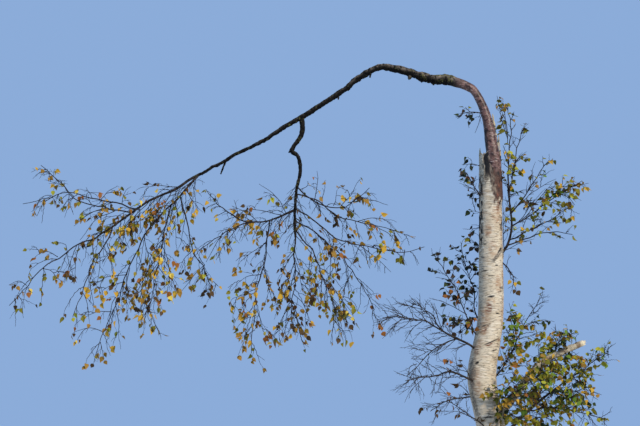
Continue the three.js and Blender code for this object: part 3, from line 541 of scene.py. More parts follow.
def smooth_line(points, steps):
    """Points along the smooth curve through a few, with that many steps to a span."""
    given = np.array(points, float)
    ends = np.vstack([2 * given[0] - given[1], given, 2 * given[-1] - given[-2]])
    share = (np.arange(steps) / steps)[:, None]
    spans = []
    for before, start, end, after in zip(ends, ends[1:], ends[2:], ends[3:]):
        leave = (end - before) / 2
        arrive = (after - start) / 2
        cubic = 2 * start - 2 * end + leave + arrive
        square = -3 * start + 3 * end - 2 * leave - arrive
        spans.append(start + leave * share + square * share**2 + cubic * share**3)
    return np.vstack([*spans, given[-1]])


def spread(values, steps):
    """Numbers in step with smooth_line, from one at each given point."""
    given = np.arange(len(values)) * steps
    return np.interp(np.arange(given[-1] + 1), given, values)


def square_to(direction):
    helper = UP if abs(direction[2]) < 0.9 else np.array([1.0, 0.0, 0.0])
    return unit(np.cross(helper, direction))


def turned(vector, axis, angle):
    """vector turned round a unit axis."""
    along = axis * np.dot(axis, vector)
    return along + (vector - along) * math.cos(angle) + np.cross(axis, vector) * math.sin(angle)


def frames_along(points):
    """Tangents, normals and sides along a line, turning as little as possible."""
    tangents = unit(np.vstack([points[1:], points[-1:]]) - np.vstack([points[:1], points[:-1]]))
    normal = square_to(tangents[0])
    normals = []
    for tangent in tangents:
        normal = unit(normal - tangent * np.dot(normal, tangent))
        normals.append(normal)
    normals = np.array(normals)
    return tangents, normals, np.cross(normals, tangents)


def point_along(points, share):
    place = share * (len(points) - 1)
    span = min(int(place), len(points) - 2)
    return lerp(points[span], points[span + 1], place - span)


def photo_place(column, row, depth):
    """The place in whole millimetres that a pixel of the photo shows at a given depth, which is its y."""
    tilt = math.radians(CAMERA_TILT)
    pixel = SENSOR_WIDTH / CAMERA_LENS / PHOTO_WIDTH
    across = (column - PHOTO_WIDTH / 2) * pixel
    up = (PHOTO_HEIGHT / 2 - row) * pixel
    far = (depth - CAMERA_PLACE[1]) / (math.cos(tilt) - up * math.sin(tilt))
    height = CAMERA_PLACE[2] + far * (math.sin(tilt) + up * math.cos(tilt))
    return round(CAMERA_PLACE[0] + far * across), round(depth), round(height)


def distance_to_line(points, line):
    """Distance from each point to the nearest place on a line."""
    starts, steps = line[:-1], np.diff(line, axis=0)
    offset = points[:, None, :] - starts[None]
    share = np.clip((offset * steps).sum(-1) / (steps * steps).sum(-1), 0, 1)
    return np.linalg.norm(offset - share[..., None] * steps, axis=-1).min(axis=1)


# Meshes


class Bag:
    """Many small meshes joined into one."""

    def __init__(self):
        self.points = []
        self.faces = []
        self.count = 0

    def add(self, points, faces):
        self.points.append(points)
        self.faces += [[index + self.count for index in face] for face in faces]
        self.count += len(points)


def tube_faces(rings, sides):
    """Faces of a tube of rings, closed by a fan at each end. The two end centres are its last points."""
    faces = []
    for ring in range(rings - 1):
        for side in range(sides):
            after = (side + 1) % sides
            low, high = ring * sides, (ring + 1) * sides
            faces.append((low + side, low + after, high + after, high + side))
    foot, tip = rings * sides, rings * sides + 1
    last = (rings - 1) * sides
    for side in range(sides):
        after = (side + 1) % sides
        faces.append((after, side, foot))
        faces.append((last + side, last + after, tip))
    return faces


known_faces = {}


def add_tube(bag, points, radii, sides):
    """A plain tapering tube along a line."""
    key = (len(points), sides)
    if key not in known_faces:
        known_faces[key] = tube_faces(*key)
    tangents, normals, side_ways = frames_along(points)
    angles = (np.arange(sides) * 2 * math.pi / sides)[None, :, None]
    spoke = normals[:, None] * np.cos(angles) - side_ways[:, None] * np.sin(angles)
    rings = points[:, None] + spoke * np.asarray(radii, float)[:, None, None]
    tip = points[-1] + tangents[-1] * radii[-1]
    bag.add(np.vstack([rings.reshape(-1, 3), points[0], tip]), known_faces[key])


def put(name, data):
    """A new object of the scene."""
    item = bpy.data.objects.new(name, data)
    bpy.context.scene.collection.objects.link(item)
    return item


def make_piece(name, points, faces, look, nodes=(), masks=None):
    """A finished piece: its mesh in metres, its masks and its material, with the solids that it stands for
    hidden.
    """
    mesh = bpy.data.meshes.new(name)
    mesh.from_pydata((np.asarray(points) * MM).tolist(), [], faces)
    mesh.polygons.foreach_set("use_smooth", [True] * len(mesh.polygons))
    for mask, values in (masks or {}).items():
        mesh.attributes.new(mask, "FLOAT", "POINT").data.foreach_set("value", np.asarray(values, np.float32))
    mesh.materials.append(material_of(look))
    piece = put(name, mesh)
    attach(piece, "root")
    if nodes:
        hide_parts(*nodes)


# Materials


def colour_of(code):
    """A colour code such as 'c9a13a' as the linear values that shaders use."""
    parts = [int(code[i : i + 2], 16) / 255 for i in (0, 2, 4)]
    linear = [part / 12.92 if part <= 0.04045 else ((part + 0.055) / 1.055) ** 2.4 for part in parts]
    return (*linear, 1.0)


# Noise in a material: its grains to a metre along each axis, the values where it begins and is full
Grain = namedtuple("Grain", "stretch low high detail", defaults=(3,))
# A colour laid over what is there, as far as its mask, grain and share let it
Coat = namedtuple("Coat", "colour mask grain share", defaults=(None, None, 1))
# Bumps: how many millimetres they rise where their grain is full
Relief = namedtuple("Relief", "rise grain")
# A material: colour under its coats, roughness, gloss, coats, reliefs, and a smoother mask's roughness
Look = namedtuple("Look", "colour roughness gloss coats reliefs polish", defaults=(None,))


COLOUR_A, COLOUR_B, COLOUR_MIXED = 6, 7, 2  # a colour mix node's two inputs and its output


class Finish:
    """A node material built up layer by layer over one base colour."""

    def __init__(self, name, look):
        self.material = bpy.data.materials.new(name)
        self.material.use_nodes = True
        self.nodes = self.material.node_tree.nodes
        self.links = self.material.node_tree.links
        self.shader = self.nodes["Principled BSDF"]
        self.shader.inputs["Roughness"].default_value = look.roughness
        self.shader.inputs["Specular IOR Level"].default_value = look.gloss
        self.place = self.nodes.new("ShaderNodeTexCoord").outputs["Object"]
        self.colour = self.nodes.new("ShaderNodeRGB").outputs[0]
        self.colour.default_value = colour_of(look.colour)
        self.height = None
        for coat in look.coats:
            self.paint(coat)
        for relief in look.reliefs:
            self.raise_by(relief)
        if look.polish:
            self.polish(*look.polish)
        self.links.new(self.colour, self.shader.inputs["Base Color"])
        if self.height:
            self.links.new(self.height, self.shader.inputs["Normal"])

    def grain(self, grain):
        """Noise that goes from 0 at the grain's low to 1 at its high."""
        mapping = self.nodes.new("ShaderNodeMapping")
        mapping.inputs["Scale"].default_value = grain.stretch
        texture = self.nodes.new("ShaderNodeTexNoise")
        texture.inputs["Scale"].default_value = 1
        texture.inputs["Detail"].default_value = grain.detail
        spread_out = self.nodes.new("ShaderNodeMapRange")
        spread_out.inputs["From Min"].default_value = grain.low
        spread_out.inputs["From Max"].default_value = grain.high
        self.links.new(self.place, mapping.inputs["Vector"])
        self.links.new(mapping.outputs["Vector"], texture.inputs["Vector"])
        self.links.new(texture.outputs["Fac"], spread_out.inputs["Value"])
        return spread_out.outputs["Result"]

    def mask(self, name):
        attribute = self.nodes.new("ShaderNodeAttribute")
        attribute.attribute_name = name
        return attribute.outputs["Fac"]

    def times(self, first, second):
        """Product of two factors, each a socket or a number."""
        product = self.nodes.new("ShaderNodeMath")
        product.operation = "MULTIPLY"
        for socket, value in zip(product.inputs, (first, second)):
            if isinstance(value, (int, float)):
                socket.default_value = value
            else:
                self.links.new(value, socket)
        return product.outputs["Value"]

    def paint(self, coat):
        factor = self.mask(coat.mask) if coat.mask else self.grain(coat.grain)
        if coat.mask and coat.grain:
            factor = self.times(factor, self.grain(coat.grain))
        if coat.share != 1:
            factor = self.times(factor, coat.share)
        mix = self.nodes.new("ShaderNodeMix")
        mix.data_type = "RGBA"
        self.links.new(factor, mix.inputs["Factor"])
        self.links.new(self.colour, mix.inputs[COLOUR_A])
        mix.inputs[COLOUR_B].default_value = colour_of(coat.colour)
        self.colour = mix.outputs[COLOUR_MIXED]

    def polish(self, mask, roughness):
        """Makes the surface that smooth where the mask is 1."""
        change = self.nodes.new("ShaderNodeMapRange")
        change.inputs["To Min"].default_value = self.shader.inputs["Roughness"].default_value
        change.inputs["To Max"].default_value = roughness
        self.links.new(self.mask(mask), change.inputs["Value"])
        self.links.new(change.outputs["Result"], self.shader.inputs["Roughness"])

    def raise_by(self, relief):
        bump = self.nodes.new("ShaderNodeBump")
        bump.inputs["Distance"].default_value = relief.rise * MM
        self.links.new(self.grain(relief.grain), bump.inputs["Height"])
        if self.height:
            self.links.new(self.height, bump.inputs["Normal"])
        self.height = bump.outputs["Normal"]


LENTICELS = Grain((22, 22, 210), 0.58, 0.65, 2)
LICHEN = Coat("5c5a32", "lichen", Grain((60, 60, 60), 0.42, 0.62))
# The arch's old bark: black, with weathered grey on its upper side that is partly weathering and partly
# painted light, so the black underside is painted shade, with spots and cushions of lichen
OLD_COATS = [
    # Grey coats on the upper side: partly weathering, partly painted light; the black base left below is
    # painted shade
    Coat("766b5e", "weathered_and_lit_top", None, 0.75),
    Coat("8a7c6d", "weathered_and_lit_top", Grain((20, 26, 26), 0.46, 0.64)),
    Coat("0b0908", None, Grain((36, 36, 36), 0.47, 0.58), 0.9),
    Coat("6f6f4a", None, Grain((34, 34, 34), 0.62, 0.7), 0.3),
    LICHEN,
]
OLD_RELIEFS = [Relief(2.6, Grain((70, 70, 70), 0.3, 0.7)), Relief(0.9, Grain((180, 180, 180), 0.3, 0.7))]
LOOKS = {
    # White bark with fine dark lenticels, tan and pink peel, tan bands on the right edge that are painted
    # shade, scars, crust, black painted shade in the cleft beside the tongue, and a red-brown tongue
    "birch_bark": Look("d2c2a6", 0.6, 0.3, [
        Coat("b7a180", None, Grain((9, 9, 16), 0.42, 0.72), 0.7),
        Coat("9c7c60", None, Grain((7, 7, 42), 0.54, 0.74), 0.55),
        Coat("eee2ca", None, Grain((12, 12, 60), 0.5, 0.7), 0.75),
        # Tan peel; the tall tan bands on the right edge are painted shade
        Coat("a98566", "tan", Grain((24, 24, 100), 0.38, 0.64)),
        Coat("756a5b", "grey", Grain((60, 60, 110), 0.25, 0.6)),
        Coat("4d4138", None, LENTICELS, 0.8),
        Coat("2d251f", None, Grain((9, 9, 95), 0.66, 0.71, 2), 0.85),
        Coat("7c523c", "rust", Grain((24, 24, 90), 0.36, 0.6)),
        Coat("553a2e", "tongue"),
        Coat("2c2320", "tongue", Grain((50, 50, 14), 0.5, 0.62)),
        Coat("8c7a66", "scaly", Grain((60, 60, 40), 0.35, 0.6)),
        Coat("8f5238", "ember", Grain((34, 34, 20), 0.5, 0.62)),
        # Black crust: real crust and fissures, and painted shade in the cleft beside the tongue
        Coat("1d1916", "crust_and_shade"),
        Coat("c9b48c", "wood"),
        Coat("6e5a42", "wood", Grain((120, 120, 12), 0.45, 0.7)),
        Coat("2b2119", "hollow"),
    ], [Relief(-1.2, LENTICELS), Relief(1.0, Grain((60, 60, 160), 0.3, 0.7))]),
    "arch_bark": Look("110f0d", 0.85, 0.1, OLD_COATS, OLD_RELIEFS),
    # Dark brown bark of the thin boughs
    "bough_bark": Look("2c2420", 0.7, 0.2, [
        Coat("4a3f38", None, Grain((20, 26, 26), 0.46, 0.64), 0.8),
        Coat("17120f", None, Grain((36, 36, 36), 0.47, 0.58), 0.9),
        LICHEN,
    ], OLD_RELIEFS),
    # Glossy red-brown young bark with pale lenticels, which turns into the arch's old bark with its painted
    # light on top and painted shade below, and black torn bark on the left that is partly painted shade
    "leader_bark": Look("110f0d", 0.85, 0.25, [
        *OLD_COATS,
        Coat("5a4239", "young"),
        Coat("84625a", "young", Grain((18, 18, 26), 0.42, 0.66)),
        Coat("2f2120", "young", Grain((26, 26, 34), 0.52, 0.66)),
        Coat("b9a297", "young", Grain((30, 30, 190), 0.6, 0.68)),
        # Black torn bark on the leader's left side: partly real crust, partly painted shade
        Coat("14110f", "crust_and_shade"),
    ], [Relief(0.7, Grain((60, 60, 120), 0.3, 0.7))], ("young", 0.36)),
    # Whitish bark of the broken bough, blotched brown and black, with its bare broken end
    "dead_bark": Look("b5a78c", 0.7, 0.3, [
        Coat("80674c", None, Grain((16, 16, 16), 0.46, 0.6), 0.9),
        Coat("3a2e25", None, Grain((24, 24, 60), 0.6, 0.67), 0.9),
        Coat("e6d6b2", "wood"),
        Coat("9d7c54", "wood", Grain((60, 14, 14), 0.5, 0.7)),
    ], [Relief(2.0, Grain((60, 60, 60), 0.3, 0.7))]),
    # Weathered splinters with fibres along them
    "bare_wood": Look("cdbd97", 0.75, 0.5, [
        Coat("8a7553", None, Grain((140, 140, 9), 0.48, 0.66), 0.8),
        Coat("ece3cb", None, Grain((100, 100, 7), 0.55, 0.7), 0.7),
    ], [Relief(1.5, Grain((200, 200, 12), 0.3, 0.7))]),
    "floor": Look("e6e4df", 0.9, 0.5, [Coat("dedbd4", None, Grain((3, 3, 3), 0.4, 0.6))], []),
}
for twig, base, light in (("twig_bark", "241b16", "3f322b"), ("dead_twig_bark", "2f2721", "54483f")):
    LOOKS[twig] = Look(
        base, 0.65, 0.2, [Coat(light, None, Grain((90, 90, 90), 0.5, 0.7), 0.55)],
        [Relief(0.3, Grain((260, 260, 260), 0.3, 0.7))],
    )

# Leaf tints, each with a soft change of tone and fine veins
TINTS = {
    "gold": "bd952e", "yellow": "d6bb4e", "ochre": "947029", "rust": "8c5722", "brown": "4f3a1e",
    # The two near-black tints 1f271a and 35271b stand for the dark group's leaves in the trunk's shadow:
    # painted shade
    "olive": "76701c", "lime": "a3a02c", "green": "617a24", "deep": "2f3c1c", "shade": "1f271a",
    "shade_brown": "35271b",
}
for tint, colour in TINTS.items():
    LOOKS["leaf_" + tint] = Look(
        colour, 0.6, 0.2, [Coat("5c4420", None, Grain((45, 45, 45), 0.56, 0.78), 0.35)],
        [Relief(0.4, Grain((220, 220, 220), 0.35, 0.65))],
    )


known_materials = {}


def material_of(name):
    """The material of that look, made when it is first needed."""
    if name not in known_materials:
        known_materials[name] = Finish(name, LOOKS[name]).material
    return known_materials[name]


# Trunk


def trunk_belly(height):
    return np.exp(-(((height - BELLY_HEIGHT) / BELLY_LENGTH) ** 2))


def trunk_centre(height):
    lean = LEAN_BACK * (1 - np.exp(-height / LEAN_HEIGHT))
    across = lean + BELLY_SHIFT * trunk_belly(height)
    return np.stack([across, SWAY * np.sin(height / SWAY_HEIGHT), height], axis=-1)


def trunk_radius(height):
    taper = lerp(FOOT_RADIUS, TOP_RADIUS, height / TRUNK_HEIGHT)
    return taper + BELLY_SWELL * trunk_belly(height) + FLARE * np.exp(-height / FLARE_HEIGHT)


# Marks on the trunk. across is where they are between its left edge, -1, and its right edge, 1, seen from
# the front. Then come height, half width, half height, turn in degrees, and how far they stand out
Mark = namedtuple("Mark", "mask across height half_width half_height turn relief")
MARKS = [
    ("tan", 0.1, 2785, 42, 70, 8, 0), ("tan", -0.35, 2960, 36, 60, 0, 0),
    ("tan", 0.5, 2480, 30, 90, 0, 0), ("tan", -0.5, 2150, 48, 120, 0, 0),
    ("tan", -0.7, 1930, 40, 80, 0, 0), ("tan", 0.3, 3080, 34, 70, 0, 0),
    ("crust_and_shade", -0.58, 2838, 17, 5, 0, -2), ("crust_and_shade", -0.62, 2602, 36, 5, 4, -2),
    ("crust_and_shade", -0.1, 2558, 32, 5, -3, -2), ("grey", 0.5, 2746, 92, 15, 52, 12),
    ("grey", 0.9, 2760, 22, 60, 0, 10), ("crust_and_shade", 0.62, 2786, 40, 6, 52, 0),
    # The three tall tan bands on the right edge, across 0.85 to 0.9, are painted shade that darkens that edge
    ("tan", 0.86, 3020, 30, 160, 0, 0), ("tan", 0.9, 2560, 26, 120, 0, 0),
    ("tan", 0.85, 2240, 26, 160, 0, 0), ("crust_and_shade", -0.1, 2378, 38, 8, 8, -3),
    ("rust", -0.28, 2268, 36, 50, 0, -5), ("tan", -0.2, 2330, 46, 30, 0, 5),
    ("crust_and_shade", 0.42, 2228, 20, 6, -6, -2), ("rust", -0.42, 2090, 18, 24, 0, -2),
    ("crust_and_shade", -0.5, 2122, 24, 5, 20, 0), ("crust_and_shade", 0.25, 1982, 72, 6, 24, -5),
    ("rust", 0.1, 1962, 34, 16, 24, 0), ("rust", 0.8, 2006, 26, 18, 20, 0),
    ("crust_and_shade", 0.55, 1905, 30, 5, 10, -2), ("grey", -0.75, 1720, 44, 150, 0, 3),
    ("tan", -0.55, 1640, 50, 120, 0, 0), ("crust_and_shade", -0.5, 1800, 20, 12, 30, -2),
    ("grey", -0.85, 1450, 36, 130, 0, 2), ("crust_and_shade", 0.2, 1560, 34, 6, -8, -2),
    ("crust_and_shade", -0.2, 1330, 40, 7, 5, -2), ("crust_and_shade", 0.6, 2420, 26, 4, 0, -1),
    ("crust_and_shade", 0.35, 2650, 20, 4, 0, -1), ("crust_and_shade", -0.75, 2720, 22, 6, 0, -1),
    ("crust_and_shade", 0.75, 3010, 18, 4, 0, -1), ("grey", -0.45, 3440, 30, 90, 0, 4),
    ("rust", 0.55, 3180, 20, 60, 0, 0), ("tan", 0.5, 3110, 44, 90, 0, 0),
]
MARKS_BEHIND = 34  # further marks spread over the sides that the photo doesn't show
BEHIND_SEED = 77
BEHIND_HEIGHTS = (250, 3350)
BEHIND_SIZES = (18, 44)
BEHIND_RELIEF = -2
CRUST_SHAPE = 0.16  # height of such a mark of crust as a share of its width
PATCH_SHAPE = 1.2
MARK_RIM = 1.25  # where a mark ends, as a share of its size
MARK_SOFTNESS = 0.6
MARK_REACH = 1.4  # how far it shapes the bark

# Relief of the bark: depth, grain, seed and octaves of each layer of noise
TRUNK_RELIEF = [(3.0, 170, 11, 3), (1.6, (60, 60, 26), 21, 3), (0.7, (40, 40, 7), 31, 1)]
WARP = 0.35  # how ragged the marks' edges are
WARP_GRAIN = 26
FOOT_BARK = 520  # up to here the bark is grey and fissured
FISSURE_GRAIN = (26, 26, 95)
FISSURE_DEPTH = 9
FISSURE_FLOOR = -6
EDGE_HEIGHTS = (2760, 2880, 3410, 3470)  # black crust up the left edge under the snag
EDGE_GRAIN = (20, 20, 40)
EDGE_RELIEF = 5

# The tongue of the leader's bark that runs down the trunk's right: its left edge at some heights, and where
# its scaly margin, its red-brown foot and the cleft beside it, painted black as painted shade, begin and are
# full, in height and in distance from that edge
TONGUE_HEIGHTS = (3150, 3240, 3330, 3430, 3520)
TONGUE_EDGES = (18, -8, -26, -46, -58)
TONGUE_FOOT = 3185
TONGUE_GRAIN = (20, 20, 44)
TONGUE_RELIEF = 4
TONGUE_EDGE_GRAIN = (14, 14, 40)
SCALY_HEIGHTS, SCALY_MARGIN = (3260, 3320), (54, 36)
EMBER_HEIGHTS, EMBER_MARGIN = (3400, 3310), (30, 54)
CLEFT_HEIGHTS, CLEFT_MARGIN = (3380, 3470), (34, 20)
CLEFT_MIDDLE = -6
CLEFT_RELIEF = -6

# The leader's foot grows out of the trunk between two heights, and comes free of it between two others
LEADER_GROWS = (3040, 3260)
LEADER_FREE = (3400, 3530)
LEADER_SINK = (6, -7)
LEADER_FILLET = 14

# Rings inside the broken rim: their share of its width, how far they drop, and how much bare wood and
# rotted hollow they show
RimRing = namedtuple("RimRing", "share drop wood hollow")
RIM_RINGS = [
    RimRing(0.9, 4, 1, 0),
    RimRing(0.8, 46, 1, 0.25),
    RimRing(0.62, 105, 0.8, 0.7),
    RimRing(0.3, 150, 0.4, 1),
]
RIM_FROM = 3380  # from here up the bark rises to the rim's teeth
RIM_RAGGED = 26
RIM_WOOD = 9  # height of the bare wood along the rim
TRUNK_MASKS = ("tan", "grey", "rust", "crust_and_shade", "tongue", "scaly", "ember", "wood", "hollow")


def ramp(values, start, end):
    """Rises softly from 0 at start to 1 at end."""
    return smooth_step((values - start) / (end - start))


def around(angle, middle):
    """How far an angle is from a middle, from minus half a turn to half a turn."""
    return (angle - middle + math.pi) % (2 * math.pi) - math.pi


def mark_distance(mark, angle, height, radius):
    """How far each place is from a mark's middle, where 1 is its edge."""
    arc = radius * around(angle, -math.acos(mark.across))
    rise = height - mark.height
    cos, sin = math.cos(math.radians(mark.turn)), math.sin(math.radians(mark.turn))
    along = (arc * cos + rise * sin) / mark.half_width
    over = (rise * cos - arc * sin) / mark.half_height
    return np.hypot(along, over)


def leader_at(height):
    """The leader's centre and radius where it stands beside the trunk."""
    line = smooth_line(LEADER_LINE[:4], 20)
    radii = spread(LEADER_RADII[:4], 20)
    order = line[:, 2]
    return [np.interp(height, order, values) for values in (line[:, 0], line[:, 1], radii)]


def with_leader(angle, height, radius, centre):
    """The trunk's radius where it swells smoothly over the leader's foot."""
    middle_x, middle_y, leader_radius = leader_at(height)
    grown = ramp(height, *LEADER_GROWS)
    reach = leader_radius * grown + lerp(*LEADER_SINK, ramp(height, *LEADER_FREE))
    off_x, off_y = middle_x - centre[..., 0], middle_y - centre[..., 1]
    along = off_x * np.cos(angle) + off_y * np.sin(angle)
    aside = np.square(off_x) + np.square(off_y) - np.square(along)
    surface = along + np.sqrt(np.maximum(np.square(reach) - aside, 0))
    hit = (np.square(reach) > aside) & (grown > 0)
    blend = np.clip(0.5 + (surface - radius) / (2 * LEADER_FILLET), 0, 1)
    merged = lerp(radius, surface, blend) + LEADER_FILLET * blend * (1 - blend)
    return np.where(hit, np.maximum(merged, radius), radius)


def trunk_line():
    """The trunk's centre line from the ground to its broken top."""
    return trunk_centre(np.linspace(0, TRUNK_HEIGHT, 400))


class TrunkBark:
    """The trunk's surface: the masks that colour it, and the relief of its bark."""

    def __init__(self):
        self.height, self.angle = np.meshgrid(
            np.linspace(0, TRUNK_HEIGHT, TRUNK_ROWS + 1),
            np.arange(TRUNK_SIDES) * 2 * math.pi / TRUNK_SIDES,
            indexing="ij",
        )
        height, angle = self.height, self.angle
        self.centre = trunk_centre(height)
        ridge = 1 + RIDGE_SHARE * np.exp(-height / FLARE_HEIGHT) * np.cos(ROOT_RIDGES * angle + RIDGE_TURN)
        self.radius = with_leader(angle, height, trunk_radius(height) * ridge, self.centre)
        self.outward = np.stack([np.cos(angle), np.sin(angle), np.zeros_like(angle)], axis=-1)
        self.bare = self.centre + self.outward * self.radius[..., None]
        self.relief = sum(depth * rough_noise(self.bare, *layer) for depth, *layer in TRUNK_RELIEF)
        self.masks = {name: np.zeros_like(height) for name in TRUNK_MASKS}
        self.warp = WARP * rough_noise(self.bare, WARP_GRAIN, 51)

    def add(self, mask, values):
        self.masks[mask] = np.maximum(self.masks[mask], values)

    def add_foot(self):
        """Grey bark with dark fissures at the foot."""
        foot = smooth_step(1 - self.height / FOOT_BARK)
        fissures = np.abs(rough_noise(self.bare, FISSURE_GRAIN, 41))
        self.relief += foot * (FISSURE_DEPTH * smooth_step(fissures / 0.35) + FISSURE_FLOOR)
        self.add("grey", foot)
        self.add("crust_and_shade", foot * smooth_step((0.12 - fissures) / 0.08) * 0.8)

    def add_mark(self, mask, far, relief):
        """A patch or scar with a ragged edge. far is 1 at its rim."""
        self.add(mask, smooth_step((MARK_RIM + self.warp - far) / MARK_SOFTNESS))
        self.relief += relief * smooth_step(MARK_REACH - far)

    def add_marks(self):
        """The marks that the photo shows, and others by a seeded rule on the far side."""
        for mark in (Mark(*row) for row in MARKS):
            self.add_mark(mark.mask, mark_distance(mark, self.angle, self.height, self.radius), mark.relief)
        random = Stream(BEHIND_SEED)
        for index in range(MARKS_BEHIND):
            height = lerp(*BEHIND_HEIGHTS, (index + random()) / MARKS_BEHIND)
            angle = math.pi * (0.05 + 0.9 * random())
            mask = ("crust_and_shade", "tan", "crust_and_shade", "rust")[index % 4]
            half_width = random.between(*BEHIND_SIZES)
            half_height = half_width * (CRUST_SHAPE if mask == "crust_and_shade" else PATCH_SHAPE)
            arc = self.radius * around(self.angle, angle)
            far = np.hypot(arc / half_width, (self.height - height) / half_height)
            self.add_mark(mask, far, BEHIND_RELIEF)

    def add_left_edge(self):
        """Black crust up the left edge under the snag."""
        start, full, fades, end = EDGE_HEIGHTS
        edge = smooth_step((-np.cos(self.angle) - 0.6) / 0.25) * ramp(self.height, start, full)
        edge *= ramp(self.height, end, fades)
        rough = rough_noise(self.bare, EDGE_GRAIN, 61)
        self.add("crust_and_shade", edge * smooth_step(rough * 4 + 0.5))
        self.relief += EDGE_RELIEF * edge * rough

    def add_tongue(self):
        """The leader's bark runs down the trunk's right, with a cleft between it and the snag that is painted
        black as painted shade.
        """
        height, warp = self.height, self.warp
        left_side = np.interp(height, TONGUE_HEIGHTS, TONGUE_EDGES)
        ragged = 9 * rough_noise(self.bare, TONGUE_EDGE_GRAIN, 95)
        inside = self.bare[..., 0] - left_side + 60 * warp + ragged
        near = smooth_step((-np.sin(self.angle) + 0.25) / 0.2)
        tongue = near * smooth_step((height - TONGUE_FOOT + 220 * warp) / 50) * smooth_step(inside / 12)
        self.masks["tongue"] = tongue
        self.masks["scaly"] = tongue * ramp(inside, *SCALY_MARGIN) * ramp(height, *SCALY_HEIGHTS)
        self.masks["ember"] = tongue * ramp(height, *EMBER_HEIGHTS) * ramp(inside, *EMBER_MARGIN)
        self.relief += TONGUE_RELIEF * tongue * rough_noise(self.bare, TONGUE_GRAIN, 91)
        # The cleft between the tongue and the snag is painted black: painted shade in the cleft
        shaded_cleft = near * ramp(height, *CLEFT_HEIGHTS) * ramp(np.abs(inside - CLEFT_MIDDLE), *CLEFT_MARGIN)
        self.add("crust_and_shade", shaded_cleft)
        self.relief += CLEFT_RELIEF * shaded_cleft

    def with_rim(self):
        """The points with their relief, raised to teeth and splinters along the broken rim."""
        cos, sin = np.cos(self.angle), np.sin(self.angle)
        tooth = RIM_RISE * (0.5 + 0.5 * np.sin(RIM_TEETH * self.angle + 1) * np.cos(2 * self.angle))
        place = np.stack([cos * 100, sin * 100, 0 * self.angle], axis=-1)
        ragged = RIM_RAGGED * rough_noise(place, 16, 71)
        points = self.bare + self.outward * self.relief[..., None]
        points[..., 2] += ramp(self.height, RIM_FROM, TRUNK_HEIGHT) * (tooth + ragged)
        points[0, :, 2] = 0
        edge = smooth_step((self.height - TRUNK_HEIGHT + RIM_WOOD) / RIM_WOOD)
        self.add("wood", edge * 0.8)
        return points


def trunk_piece():
    bark = TrunkBark()
    bark.add_foot()
    bark.add_marks()
    bark.add_left_edge()
    bark.add_tongue()
    points = bark.with_rim()
    rim, middle = points[-1], bark.centre[-1]
    floor_height = TRUNK_HEIGHT - ROT_DEPTH
    inner = []
    for row in RIM_RINGS:
        ring = middle + (rim - middle) * [row.share, row.share, 1]
        ring[:, 2] = np.maximum(rim[:, 2] - row.drop, floor_height) + 5 * noise(ring, 12, 81)
        inner.append(ring)
    hollow_middle = middle[0] * [1, 1, 0] + [0, 0, floor_height]
    every = np.vstack([points.reshape(-1, 3), *inner, bark.centre[0, 0], hollow_middle])
    for mask, values in bark.masks.items():
        inside = np.repeat([getattr(row, mask, 0) for row in RIM_RINGS], TRUNK_SIDES)
        bark.masks[mask] = np.concatenate([values.reshape(-1), inside, [0, mask == "hollow"]])
    faces = tube_faces(TRUNK_ROWS + 1 + len(inner), TRUNK_SIDES)
    make_piece("trunk_bark", every, faces, "birch_bark", ["trunk"], bark.masks)


SPLINTER_SEED = 901
SLIVERS = 7  # side by side in each splinter
SLIVER_FOOT = -20
SLIVER_SPREAD = (0.85, 0.42)  # across a splinter, at its foot and at its top


def splinter_piece():
    """Each splinter is several slivers of wood side by side, longest near its middle."""
    bag = Bag()
    random = Stream(SPLINTER_SEED)
    for foot, tip, half_width, half_thickness in SPLINTERS:
        start, end = np.array(foot, float), np.array(tip, float)
        for index in range(SLIVERS):
            across = lerp(-1, 1, (index + 0.5) / SLIVERS)
            length = (1 - 0.34 * abs(across) ** 1.6) * random.between(0.8, 1)
            foot_x, top_x = (across * half_width * share for share in SLIVER_SPREAD)
            root = start + [foot_x, random.between(-3, 3), SLIVER_FOOT]
            top = lerp(start, end, length) + [top_x, random.between(-3, 3), 0]
            bend = [random.between(-5, 5), random.between(-4, 4), 0]
            line = smooth_line([root, lerp(root, top, 0.55) + bend, top], 7)
            shrink = np.linspace(1, 0.2, len(line)) ** 0.6
            add_tube(bag, line, half_width / SLIVERS * 1.5 * shrink + 0.8 * half_thickness / SLIVERS, 6)
    make_piece("splinters", np.vstack(bag.points), bag.faces, "bare_wood")


# Limbs

limb_lines = {}
limb_radii = {}
LIMB_STEPS = 32
SUNK_FOOT = 0.55  # share of its radius that the leader's foot keeps inside the trunk
SUNK_LENGTH = 330
SMOOTH_RINGS = 34  # over so many rings the arch's bark changes from the young leader's to its own

# Roughness: how far a limb's bark stands out in ridges, and the shares of it that lumps and plates have
LEADER_ROUGHNESS = 1.2
STUB_ROUGHNESS = 3
DEAD_ROUGHNESS = 4
BURL_ROUGHNESS = 3.5
LUMP_SHARE = 0.05
PLATE_SHARE = 0.7
UNDERSIDE_SHARE = 0.8  # how much rougher a limb's underside is
LUMP_GRAIN = (70, 70, 70)
RIDGE_GRAIN = (20, 20, 20)
PLATE_GRAIN = (26, 26, 26)

KINK_LENGTH = 150  # of the arch's small kinks
KINK_SHIFT = 9
KINK_SEEDS = (161, 171, 181)

# Where the arch's bark changes, all across the tree: the mossy burl, the young leader's bark and the top
# that is weathered and painted lighter as painted light, ever more to the right
BURL_ON = ("leader_rise", "leader_arch")
BURL_MIDDLE = -520
BURL_LENGTH = 190
YOUNG_FROM, YOUNG_TO = -360, -200
WEATHERED_AND_LIT_PLACES = (-1400, -1000, -400)
WEATHERED_AND_LIT_SHARES = (0.2, 0.7, 1.0)
WEATHERED_AND_LIT_GRAIN = 40
LICHEN_GRAIN = 30

# The leader's torn black bark, partly painted shade on its left side: up to a height, and left of a place
SNAG_TOP = 3960
SNAG_FADE = 200
LEFT_OF_LEADER = -38
TORN_SHADE_FADE = 14
TORN_SHADE_GRAIN = (16, 16, 60)

